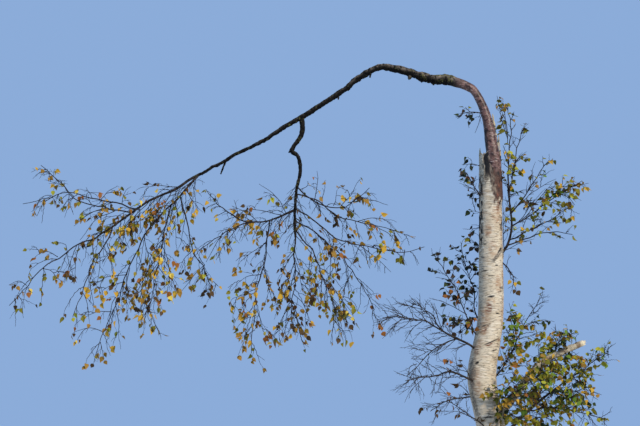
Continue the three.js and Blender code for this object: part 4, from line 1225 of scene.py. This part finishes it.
# Each limb's look, slot, sides, roughness and seed
Limb = namedtuple("Limb", "look slot sides roughness seed")
LIMBS = {
    "leader_rise": Limb("leader_bark", "leader_bark", 44, LEADER_ROUGHNESS, 100),
    "leader_arch": Limb("arch_bark", "arch_bark", 40, 4.2, 100),
    "leader_fall": Limb("arch_bark", "arch_bark", 30, 3.4, 100),
    "hanging_bough": Limb("arch_bark", "arch_bark", 26, 3.0, 130),
}
THIN_BOUGHS = (
    "outer_bough", "lower_outer_bough", "left_bough", "side_bough", "bare_bough", "low_bare_bough",
    "bush_bough",
)
for order, thin in enumerate(THIN_BOUGHS):
    LIMBS[thin] = Limb("bough_bark", "bough_bark", 16, 1.1, 140 + 10 * order)
STUB_SIDES = 14
DEAD_LIMB = Limb("dead_bark", "dead_wood", 30, DEAD_ROUGHNESS, 300)

# The slivers of the broken bough's end: their number and how long they stand out
END_SEED = 902
END_SLIVERS = 16
END_LENGTHS = (18, 46)
END_FOOT = 12
END_RADII = (5.5, 0.8)


def set_limb_lines():
    line = smooth_line(LEADER_LINE, LIMB_STEPS)
    radii = spread(LEADER_RADII, LIMB_STEPS)
    for name, (first, last) in LEADER_PIECES.items():
        limb_lines[name] = line[first * LIMB_STEPS : last * LIMB_STEPS + 1]
        limb_radii[name] = radii[first * LIMB_STEPS : last * LIMB_STEPS + 1]
    for name, bough in BOUGHS.items():
        limb_lines[name] = smooth_line(bough.line, LIMB_STEPS)
        limb_radii[name] = np.linspace(*bough.radii, len(limb_lines[name]))


def young_share(points):
    return ramp(points[:, 0], YOUNG_FROM, YOUNG_TO)


def burl_share(points, name):
    return smooth_step(1.4 - np.abs(points[:, 0] - BURL_MIDDLE) / BURL_LENGTH) * (name in BURL_ON)


def kinked(line):
    """A limb's line with the small kinks of old bark, which run on from limb to limb."""
    shift = np.stack([rough_noise(line, KINK_LENGTH, seed) for seed in KINK_SEEDS], axis=-1)
    return line + shift * (KINK_SHIFT * (1 - young_share(line)))[:, None]


def add_rough_limb(bag, line, radii, sides, roughness, seed):
    """A limb whose bark stands in ridges, lumps and plates. roughness is one number or one a ring.

    The result is how far each point faces up, from -1 to 1.
    """
    roughness = np.repeat(roughness * np.ones(len(line)), sides)
    add_tube(bag, line, radii, sides)
    points = bag.points[-1]
    skin = points[: len(line) * sides]
    spoke = unit(skin - np.repeat(line, sides, axis=0))
    lumps = rough_noise(skin, LUMP_GRAIN, seed) * LUMP_SHARE * roughness * np.repeat(radii, sides)
    below = 1 + UNDERSIDE_SHARE * smooth_step(-spoke[:, 2])
    ridges = rough_noise(skin, RIDGE_GRAIN, seed + 5) * roughness * below
    plates = smooth_step(rough_noise(skin, PLATE_GRAIN, seed + 8) * 3) * PLATE_SHARE * roughness * below
    skin += spoke * (lumps + ridges + plates)[:, None]
    return np.append(spoke[:, 2], [0, 0])


def limb_masks(name, points, upward, seed):
    """Where a limb's bark is young and mossy, where torn black bark is partly painted shade, and where
    weathered grey paints light on its top and leaves its underside dark as painted shade.
    """
    young = young_share(points)
    burl = burl_share(points, name)
    mossy = rough_noise(points, LICHEN_GRAIN, seed + 13) - 0.3 + 0.36 * burl + 0.16 * burl * upward
    # Lighter where the bark faces up: partly weathering and partly painted light, leaving the underside dark
    # as painted shade
    weathered_and_lit_top = smooth_step(0.35 + 0.9 * upward + 0.35 * rough_noise(points, WEATHERED_AND_LIT_GRAIN, seed + 17))
    # Torn black bark on the leader's left side below the snag's top: partly real crust, partly painted shade
    # of that side
    torn_and_shaded = smooth_step((SNAG_TOP - points[:, 2]) / SNAG_FADE)
    torn_and_shaded *= smooth_step((LEFT_OF_LEADER - points[:, 0]) / TORN_SHADE_FADE)
    torn_and_shaded *= smooth_step(rough_noise(points, TORN_SHADE_GRAIN, seed + 21) * 3 + 0.75)
    return {
        "young": young,
        "lichen": smooth_step(mossy * 3.5) * (1 - 0.8 * young),
        "crust_and_shade": torn_and_shaded * (name == "leader_rise"),
        "weathered_and_lit_top": weathered_and_lit_top * np.interp(points[:, 0], WEATHERED_AND_LIT_PLACES, WEATHERED_AND_LIT_SHARES),
    }


def limb_piece(name, limb):
    bag = Bag()
    line, radii = kinked(limb_lines[name]), limb_radii[name]
    roughness = limb.roughness
    if name == "leader_rise":
        radii = radii * lerp(SUNK_FOOT, 1, smooth_step((line[:, 2] - line[0, 2]) / SUNK_LENGTH))
    if name == "leader_arch":
        roughness = np.interp(np.arange(len(line)), [0, SMOOTH_RINGS], [LEADER_ROUGHNESS, roughness])
    roughness = roughness + BURL_ROUGHNESS * burl_share(line, name)
    upward = [add_rough_limb(bag, line, radii, limb.sides, roughness, limb.seed)]
    for stub in STUBS:
        if stub.on == name:
            middle = lerp(np.array(stub.foot), np.array(stub.tip), 0.5)
            line = smooth_line([stub.foot, middle, stub.tip], 8)
            radii = np.linspace(*stub.radii, len(line))
            upward.append(add_rough_limb(bag, line, radii, STUB_SIDES, STUB_ROUGHNESS, limb.seed + 9))
    points = np.vstack(bag.points)
    masks = limb_masks(name, points, np.concatenate(upward), limb.seed)
    make_piece(name + "_bark", points, bag.faces, limb.look, [name], masks)


def broken_bough_piece(name, limb):
    """The dead bough, with a torn end of bare wood."""
    bag = Bag()
    line, radii = limb_lines[name], limb_radii[name]
    add_rough_limb(bag, line, radii, limb.sides, limb.roughness, limb.seed)
    end, before = line[-1], line[-12]
    ahead = unit(end - before)
    across = square_to(ahead)
    random = Stream(END_SEED)
    bark_points = bag.count
    for index in range(END_SLIVERS):
        out = turned(across, ahead, index * GOLDEN_ANGLE) * radii[-1] * random.between(0.15, 0.85)
        root = end + out - ahead * END_FOOT
        top = root + ahead * random.between(*END_LENGTHS) + out * 0.1
        sliver = smooth_line([root, lerp(root, top, 0.5), top], 3)
        add_tube(bag, sliver, np.linspace(*END_RADII, len(sliver)), 5)
    points = np.vstack(bag.points)
    wood = smooth_step(((points - end) @ ahead + 26) / 16)
    wood[bark_points:] = 1
    make_piece(name + "_bark", points, bag.faces, limb.look, [name], {"wood": wood})


# Twigs and leaves


def stem_line(mass, random):
    """The source's stem: from its limb to its furthest tip, bowed, with a slow seeded swing."""
    source_steps = 2
    if isinstance(mass.place, tuple):
        start = np.array(mass.place, float)
    else:
        start = point_along(limb_lines[mass.on][:: LIMB_STEPS // source_steps], mass.place)
    end = np.array(mass.tip, float)
    length = np.linalg.norm(end - start)
    phase = random() * math.pi * 2
    share = np.arange(STEM_STEPS + 1) / STEM_STEPS
    arch = np.sin(math.pi * share)
    swing = WANDER * length * np.sin(math.pi * WANDER_TURNS * share + phase) * arch
    line = lerp(start, end, share[:, None])
    return line + np.stack([swing / 2, swing, mass.bow * arch + swing / 2], axis=-1)


def clear_of_limbs(points):
    """Whether each point keeps its distance from the trunk and the limbs, and stays in the solids' box."""
    inside = np.all((points * MM > np.array(cad_low) - BOX_MARGIN * MM), axis=1)
    inside &= np.all((points * MM < np.array(cad_high) + BOX_MARGIN * MM), axis=1)
    height = np.clip(points[:, 2], 0, TRUNK_HEIGHT)
    from_trunk = np.linalg.norm((points - trunk_centre(height)), axis=1)
    clear = inside & (from_trunk > trunk_radius(height) + LIMB_MARGIN)
    for name, line in limb_lines.items():
        coarse = line[:: LIMB_STEPS // 4]
        clear &= distance_to_line(points, coarse) > limb_radii[name].max() * 0.8 + LIMB_MARGIN
    return clear


def twig_start(mass, stem, frames, index, random):
    """The source's twig: where it leaves its stem, its direction and its length."""
    step = (index + 0.7 * random()) / mass.twigs
    share = lerp(FIRST_TWIG, LAST_TWIG, step)
    tangent, normal, side = (vectors[int(share * STEM_STEPS)] for vectors in frames)
    turn = index * GOLDEN_ANGLE + random()
    spoke = normal * OUTWARD * math.cos(turn), side * OUTWARD * math.sin(turn)
    direction = unit(tangent * FORWARD + spoke[0] + spoke[1] + UP * mass.lift)
    size = lerp(SHORTEST, 1, random())
    length = mass.reach * TWIG_SHARE * size * lerp(1, END_SHARE, share)
    return share, direction, length


def source_twigs(mass, stem, frames, random):
    """The source's twigs, by the source's own draws."""
    found = []
    for index in range(mass.twigs):
        found.append(twig_start(mass, stem, frames, index, random))
        leaf_count = int(mass.leaves + random())
        for _ in range(3 * leaf_count):
            random()
    return found


def swings(count, size, random):
    """Steps aside at evenly spaced places along a stem, with none at its ends."""
    aside = np.array([[random() - 0.5, random() - 0.5, random() - 0.5] for _ in range(count + 1)]) * 2 * size
    aside[0] = 0
    aside[-1] = 0
    return aside


def crooked(line, random, kink=STEM_KINK):
    """A stem that swings from bend to bend and turns aside at its buds."""
    lengths = np.concatenate([[0], np.cumsum(np.linalg.norm(np.diff(line, axis=0), axis=1))])
    count = max(3, int(lengths[-1] / KINK_SPACING))
    bends = max(2, int(lengths[-1] / BEND_SPACING))
    places = np.linspace(0, lengths[-1], 3 * count + 1)
    fine = np.stack([np.interp(places, lengths, line[:, axis]) for axis in range(3)], axis=-1)
    buds = swings(count, kink, random)
    slow = smooth_line(swings(bends, STEM_BEND, random), 8)
    along = places / lengths[-1]
    for aside in (buds, slow):
        share = np.linspace(0, 1, len(aside))
        fine = fine + np.stack([np.interp(along, share, aside[:, axis]) for axis in range(3)], axis=-1)
    return fine


def bent_line(root, direction, length, droop, steps, kink, random):
    """A twig that droops under its weight and turns a little at each bud."""
    run = np.linspace(0, 1, steps + 1)[:, None]
    line = root + direction * length * run - UP * droop * length * run**2
    aside = square_to(direction)
    over = np.cross(direction, aside)
    turn = random() * math.pi
    zigzag = np.where(np.arange(steps + 1) % 2 == 0, 1.0, -1.0)[:, None] * kink * (1 - 0.5 * run)
    zigzag[0] = 0
    wave = math.cos(turn) * aside + math.sin(turn) * over
    swing = math.cos(turn) * over - math.sin(turn) * aside
    drift = (random() - 0.5) * TWIG_DRIFT * length * np.sin(run * math.pi * 0.9) * swing
    return line + zigzag * wave + drift


Leaf = namedtuple("Leaf", "root direction facing size tint curl fold")


class Foliage:
    """Twigs and leaves of one group of masses."""

    def __init__(self, habit, tints, clusters):
        self.habit = habit
        self.tints = tints
        self.clusters = clusters
        self.twigs = Bag()
        self.leaves = []

    def leafiness(self, seat):
        """The share of leaves that is left at a place."""
        near = self.habit.even
        for cluster in (Cluster(*row) for row in self.clusters):
            far = math.hypot(seat[0] - cluster.across, seat[2] - cluster.height) / cluster.radius
            near += cluster.strength * math.exp(-far * far)
        return min(near, MOST_LEAFY)

    def add_twig(self, line, tube):
        radii, sides = tube
        add_tube(self.twigs, line, np.linspace(*radii, len(line)), sides)

    def grow_mass(self, mass, stem, frames, starts, random):
        """One mass: its stem, the source's twigs and more between them, fine twigs, and leaves in sprays."""
        habit = self.habit
        line = crooked(smooth_line(stem, 6), random)
        self.add_twig(line, STEM_TUBE)
        space = (stem, mass.reach)
        further = []
        for index in range(round(mass.twigs * habit.more)):
            _, direction, length = twig_start(mass, stem, frames, index % mass.twigs, random)
            direction = turned(direction, UP, random.between(-FURTHER_TURN, FURTHER_TURN))
            share = random.between(FURTHER_FROM, 1)
            further.append((share, direction, length * random.between(0.5, 1) * lerp(*FURTHER_SIZES, share)))
        for share, direction, length in [*starts, *further]:
            leaves = mass.leaves * (1 if share < BARE_TIP else 0.5)
            self.grow_twig(point_along(line, share), direction, length, space, leaves, random)
        ahead = unit(line[-1] - line[-4])
        tint = pick(self.tints, random)
        self.grow_leaves(line, ahead, STEM_LEAF_PLACES, space, mass.leaves, tint, random)

    def grow_sprays(self, line, rows, space, random):
        """Longer side twigs that reach to given tips."""
        for share, tip, leaves in rows:
            root = point_along(line, share)
            end = np.array(tip, float)
            length = np.linalg.norm(end - root)
            middle = lerp(root, end, 0.5) + UP * SPRAY_BOW * length
            spray = crooked(smooth_line([root, middle, end], 8), random, SPRAY_KINK)
            self.add_twig(spray, SPRAY_TUBE)
            self.grow_fine_twigs(spray, space, leaves, random, 1)
            for _ in range(int(length / SIDE_SPACING)):
                seat = point_along(spray, random.between(*SIDE_PLACES))
                aside = turned(square_to(end - root), unit(end - root), random() * math.pi * 2)
                direction = unit(unit(end - root) * SIDE_FORWARD + aside)
                self.grow_twig(seat, direction, random.between(*SIDE_LENGTHS), space, leaves, random, 1)

    def grow_shoots(self, shoots, space, random):
        """Short shoots that stand along a limb, turned round it from one to the next."""
        line = limb_lines[shoots.limb]
        tangents, normals, sides = frames_along(line)
        for index in range(shoots.count):
            share = lerp(shoots.first, shoots.last, (index + random()) / shoots.count)
            place = int(share * (len(line) - 1))
            turn = index * GOLDEN_ANGLE + random()
            ahead = tangents[place] * SHOOT_FORWARD
            direction = unit(ahead + normals[place] * math.cos(turn) + sides[place] * math.sin(turn))
            length = shoots.length * random.between(SHOOT_SHORTEST, 1)
            self.grow_twig(line[place], direction, length, space, shoots.leaves, random)

    def grow_twig(self, root, direction, length, space, leaves, random, least=0):
        """A twig with its fine twigs, if it keeps to its space, and otherwise a shorter one."""
        for size in (length, SHORTER_TWIG * length):
            line = bent_line(root, direction, size, self.habit.droop, 8, TWIG_KINK, random)
            if fits(line[[4, 8]], space):
                self.add_twig(line, TWIG_TUBE)
                self.grow_fine_twigs(line, space, leaves, random, least)
                return

    def grow_fine_twigs(self, twig, space, leaves, random, least=0):
        """Fine twigs that leave a twig to either side in turn, and what leaves are left on them."""
        habit = self.habit
        count = max(2, int(np.linalg.norm(twig[-1] - twig[0]) / habit.spacing))
        spray_tint = pick(self.tints, random)
        for index in range(count + 1):
            is_end = index == count
            share = 1.0 if is_end else lerp(*FINE_PLACES, (index + 0.5 * random()) / count)
            seat = point_along(twig, share)
            tangent = unit(seat - point_along(twig, max(share - FINE_PLACES[0], 0)))
            turn = math.pi * index + random.between(-FINE_TURN, FINE_TURN)
            aside = turned(square_to(tangent), tangent, turn)
            outward = habit.fine_outward * (END_OUTWARD if is_end else random.between(*FINE_OUTWARD))
            direction = unit(tangent * habit.fine_forward + aside * outward)
            size = random.between(*FINE_LENGTHS) * habit.fine_size * lerp(1, FINE_END_SIZE, share)
            fine = bent_line(seat, direction, size, habit.fine_droop, 6, FINE_KINK, random)
            if fits(fine[[3, 6]], space):
                self.add_twig(fine, FINE_TUBE)
                if size > LONG_FINE_TWIG:
                    self.grow_spurs(fine, space, random)
                ahead = unit(fine[-1] - fine[-3])
                leafy = max(self.leafiness(seat), least)
                if random() < habit.leafy * leaves * leafy:
                    count_here = 1 + int(random.between(0, 1.4 + 1.5 * min(leafy, 1)))
                    places = LEAF_PLACES[:count_here]
                    self.grow_leaves(fine, ahead, places, space, None, spray_tint, random)

    def grow_spurs(self, fine, space, random):
        """One or two short spurs on a long fine twig."""
        for place in SPUR_PLACES[: 1 + int(2 * random())]:
            tangent = unit(fine[-1] - fine[0])
            aside = turned(square_to(tangent), tangent, random() * math.pi * 2)
            size = random.between(*SPUR_LENGTHS)
            seat = point_along(fine, place)
            spur = bent_line(seat, unit(tangent + aside), size, SPUR_DROOP, 3, 1, random)
            if fits(spur[[3]], space):
                self.add_twig(spur, SPUR_TUBE)

    def grow_leaves(self, line, ahead, places, space, leaves, spray_tint, random):
        """Leaves at places along a twig, mostly of their spray's tint. Without a count each place has one."""
        for place in places:
            if leaves is None or random() < self.habit.leafy * leaves * self.leafiness(line[-1]):
                tint = spray_tint if random() < SAME_TINT else pick(self.tints, random)
                self.add_leaf(point_along(line, place), ahead, tint, space, random)

    def add_leaf(self, seat, outward, tint, space, random):
        """A leaf on its stalk, if it keeps to its mass's space."""
        sideways = turned(square_to(outward), outward, random() * math.pi * 2)
        direction = unit(outward * LEAF_FORWARD + sideways * LEAF_SIDEWAYS - UP * LEAF_HANG)
        size = random.between(*LEAF_LENGTHS)
        bend = unit(direction + outward * 0.5 + sideways * 0.3)
        root = seat + bend * random.between(*PETIOLE_LENGTHS)
        facing = turned(square_to(direction), direction, random() * math.pi * 2)
        curl, fold = random.between(*LEAF_CURLS), random.between(*LEAF_FOLDS)
        if fits((root + direction * size)[None], space):
            stalk = np.array([seat, lerp(seat, root, 0.55) + UP * 1.5, root + direction * 2])
            add_tube(self.twigs, stalk, PETIOLE_RADII, 4)
            self.leaves.append(Leaf(root, direction, facing, size, tint, curl, fold))


def pick(weights, random):
    """A name from a table of weights."""
    left = random() * sum(weights.values())
    for name, weight in weights.items():
        left -= weight
        if left < 0:
            return name
    return name


def fits(points, space):
    """Whether points are within reach of their stem and clear of the limbs."""
    stem, reach = space
    return bool(np.all(distance_to_line(points, stem) <= reach) and np.all(clear_of_limbs(points)))


# A leaf: half its width at shares of its length, toothed, with the midrib between
LEAF_HALVES = [
    (0.0, 0.02), (0.04, 0.22), (0.12, 0.36), (0.21, 0.39), (0.27, 0.43), (0.38, 0.38), (0.43, 0.395),
    (0.56, 0.28), (0.61, 0.285), (0.74, 0.14), (0.79, 0.14), (1.0, 0.0),
]


def leaf_template():
    """Points and faces of a flat leaf of length 1 along X: the midrib, then its left and right edges."""
    places = np.array(LEAF_HALVES)
    count = len(places)
    rib = np.stack([places[:, 0], 0 * places[:, 0]], axis=-1)
    left = places.copy()
    right = places * [1, -1]
    faces = []
    for edge in (1, 2):
        for index in range(count - 1):
            face = (index, index + 1, edge * count + index + 1, edge * count + index)
            faces.append(face if edge == 2 else face[::-1])
    return np.vstack([rib, left, right]), faces


def leaf_piece(name, leaves, look, nodes):
    flat, faces = leaf_template()
    along, across = flat[:, 0], flat[:, 1]
    bag = Bag()
    for leaf in leaves:
        side = np.cross(leaf.facing, leaf.direction)
        lift = leaf.fold * np.abs(across) - leaf.curl * along**2 * CURL_DROP
        shrink = 1 - CURL_SHRINK * leaf.curl * along**2
        points = (
            leaf.root
            + leaf.direction * (leaf.size * along * shrink)[:, None]
            + side * (leaf.size * LEAF_WIDTH * across * (1 - FOLD_SHRINK * leaf.fold))[:, None]
            + leaf.facing * (leaf.size * lift)[:, None]
        )
        bag.add(points, faces)
    make_piece(name, np.vstack(bag.points), bag.faces, look, nodes)


# The groups of masses. limbs bear sprays and shoots of their own. Tints say how often each is dealt
Group = namedtuple("Group", "name masses limbs leaf_slot twig_look twig_slot habit clusters tints shoots")
GROUPS = [
    Group(
        "weeping", WEEPING, ("outer_bough", "lower_outer_bough", "left_bough"),
        "weeping_leaves", "twig_bark", "bough_bark",
        Habit(0.3, 0.42, 0.3, 0.7, 1.0, 0.78, 0.35, 92, 1.1), WEEPING_CLUSTERS,
        {"gold": 22, "yellow": 4, "ochre": 24, "rust": 9, "brown": 20, "olive": 18, "lime": 4},
        [
            Shoots("outer_bough", 0.12, 1, 22, 240, 1.5),
            Shoots("lower_outer_bough", 0.1, 1, 16, 240, 1.5),
            Shoots("left_bough", 0.1, 1, 12, 220, 1.2),
            Shoots("hanging_bough", 0.68, 1, 16, 260, 1.3),
        ],
    ),
    Group(
        "side", SIDE, ("side_bough",), "side_leaves", "twig_bark", "bough_bark",
        Habit(0.2, 0.06, 0.06, 0.8, 0.6, 0.66, 0.6, 86, 1), SIDE_CLUSTERS,
        {"olive": 32, "lime": 16, "green": 8, "gold": 14, "ochre": 18, "brown": 14},
        [Shoots("side_bough", 0.3, 1, 12, 160, 1.6)],
    ),
    Group(
        "dark", DARK, ("trunk",), "dark_leaves", "twig_bark", "bough_bark",
        Habit(0.3, 0.1, 0.1, 0.8, 0.7, 0.6, 1, 74, 0.85), [],
        # Mostly the two near-black tints: painted shade on the dark group's leaves
        {"shade": 44, "shade_brown": 24, "deep": 14, "olive": 12, "rust": 6}, [],
    ),
    Group(
        "bare", BARE, ("bare_bough", "low_bare_bough"), "bare_twigs", "dead_twig_bark", "bare_twigs",
        Habit(0.1, 0.03, 0.04, 0.95, 0.5, 0.5, 1, 130, 1.4), [],
        {"brown": 50, "rust": 30, "olive": 20},
        [Shoots("bare_bough", 0.3, 1, 12, 260, 0), Shoots("low_bare_bough", 0.3, 1, 9, 240, 0)],
    ),
    Group(
        "bush", BUSH, ("broken_bough",), "bush_leaves", "twig_bark", "bough_bark",
        Habit(1.6, 0.12, 0.12, 0.8, 0.7, 0.75, 0.35, 54, 1), BUSH_CLUSTERS,
        {"green": 10, "olive": 32, "lime": 16, "deep": 14, "gold": 11, "ochre": 14, "rust": 5},
        [Shoots("bush_bough", 0.3, 1, 14, 240, 1.8), Shoots("broken_bough", 0.08, 0.86, 22, 230, 2.2)],
    ),
]


def spray_tips(stems):
    """For each bearer its sprays' shares, tips in millimetres and leaves."""
    found = {}
    for parity, bearers in enumerate(SPRAYS.values()):
        order = 0
        for bearer, rows in bearers.items():
            found[bearer] = []
            for spray in (Spray(*row) for row in rows):
                depth = TRUNK_SPRAY_DEPTH
                if bearer != "trunk":
                    depth = point_along(stems[bearer], spray.share)[1]
                swing = SPRAY_SWINGS[order % len(SPRAY_SWINGS)] * (1 if (order + parity) % 2 else -1)
                if bearer in NEAR_BEARERS:
                    swing = -NEAR_SWING * abs(swing)
                tip = photo_place(spray.column, spray.row, depth + swing)
                found[bearer].append((spray.share, tip, spray.leaves))
                order += 1
    return found


def grow_masses():
    streams = {mass.name: Stream(FIRST_SEED + SEED_STEP * i) for i, mass in enumerate(MASSES)}
    stems = {mass.name: stem_line(mass, streams[mass.name]) for mass in MASSES}
    sprays = spray_tips({**stems, **limb_lines})
    seed = FINE_SEED
    for group in GROUPS:
        foliage = Foliage(group.habit, group.tints, group.clusters)
        for mass in group.masses:
            stem = stems[mass.name]
            frames = frames_along(stem)
            starts = source_twigs(mass, stem, frames, streams[mass.name])
            seed += SEED_STEP
            foliage.grow_mass(mass, stem, frames, starts, Stream(seed))
            space = (stem, mass.reach * TWIG_SHARE)
            foliage.grow_sprays(stem, sprays.get(mass.name, ()), space, Stream(seed + 1))
        for limb in group.limbs:
            seed += SEED_STEP
            line = trunk_line() if limb == "trunk" else limb_lines[limb]
            foliage.grow_sprays(line, sprays[limb], (line[::12], LIMB_REACH), Stream(seed))
        for shoots in group.shoots:
            seed += SEED_STEP
            foliage.grow_shoots(shoots, (limb_lines[shoots.limb][::12], shoots.length), Stream(seed))
        nodes = [mass.name for mass in group.masses]
        twigs = foliage.twigs
        points = np.vstack(twigs.points)
        make_piece(group.name + "_twigs", points, twigs.faces, group.twig_look, nodes)
        for tint in group.tints:
            leaves = [leaf for leaf in foliage.leaves if leaf.tint == tint]
            if leaves:
                leaf_piece(f"{group.name}_leaves_{tint}", leaves, "leaf_" + tint, nodes)


# Stage: floor, sky, sun and camera, in metres and degrees

FLOOR_RADIUS = 9
FLOOR_SIDES = 96
FLOOR_PLACE = (-1.5, 0, -0.001)
SKY_COLOUR = "8fb0de"
SKY_STRENGTH = 0.95
SUN_STRENGTH = 3.1
SUN_WIDTH = 7
SUN_COLOUR = (1.0, 0.91, 0.78)
SUN_TOWARD = (-0.62, 0.8, -0.56)
SUN_PLACE = (4, -6, 6)


def make_floor():
    mesh = bpy.data.meshes.new("floor")
    angles = np.arange(FLOOR_SIDES) * 2 * math.pi / FLOOR_SIDES
    rim = np.stack([np.cos(angles) * FLOOR_RADIUS, np.sin(angles) * FLOOR_RADIUS, 0 * angles], axis=-1)
    mesh.from_pydata(rim.tolist(), [], [list(range(FLOOR_SIDES))])
    mesh.materials.append(material_of("floor"))
    floor = put("floor", mesh)
    floor.location = FLOOR_PLACE


def make_light():
    world = bpy.data.worlds.new("studio")
    world.use_nodes = True
    background = world.node_tree.nodes["Background"]
    background.inputs["Color"].default_value = colour_of(SKY_COLOUR)
    background.inputs["Strength"].default_value = SKY_STRENGTH
    bpy.context.scene.world = world
    bpy.context.scene.view_settings.view_transform = "Standard"
    sun = bpy.data.lights.new("key", "SUN")
    sun.energy = SUN_STRENGTH
    sun.angle = math.radians(SUN_WIDTH)
    sun.color = SUN_COLOUR
    lamp = put("key", sun)
    lamp.rotation_mode = "QUATERNION"
    lamp.rotation_quaternion = Vector(SUN_TOWARD).to_track_quat("-Z", "Y")
    lamp.location = SUN_PLACE


def make_camera():
    lens = bpy.data.cameras.new("camera")
    lens.lens = CAMERA_LENS
    lens.sensor_width = SENSOR_WIDTH
    camera = put("camera", lens)
    camera.location = [place * MM for place in CAMERA_PLACE]
    camera.rotation_euler = (math.radians(90 + CAMERA_TILT), 0, 0)
    bpy.context.scene.camera = camera


set_limb_lines()
trunk_piece()
splinter_piece()
for limb_name, limb in LIMBS.items():
    limb_piece(limb_name, limb)
broken_bough_piece("broken_bough", DEAD_LIMB)
grow_masses()
make_floor()
make_light()
make_camera()
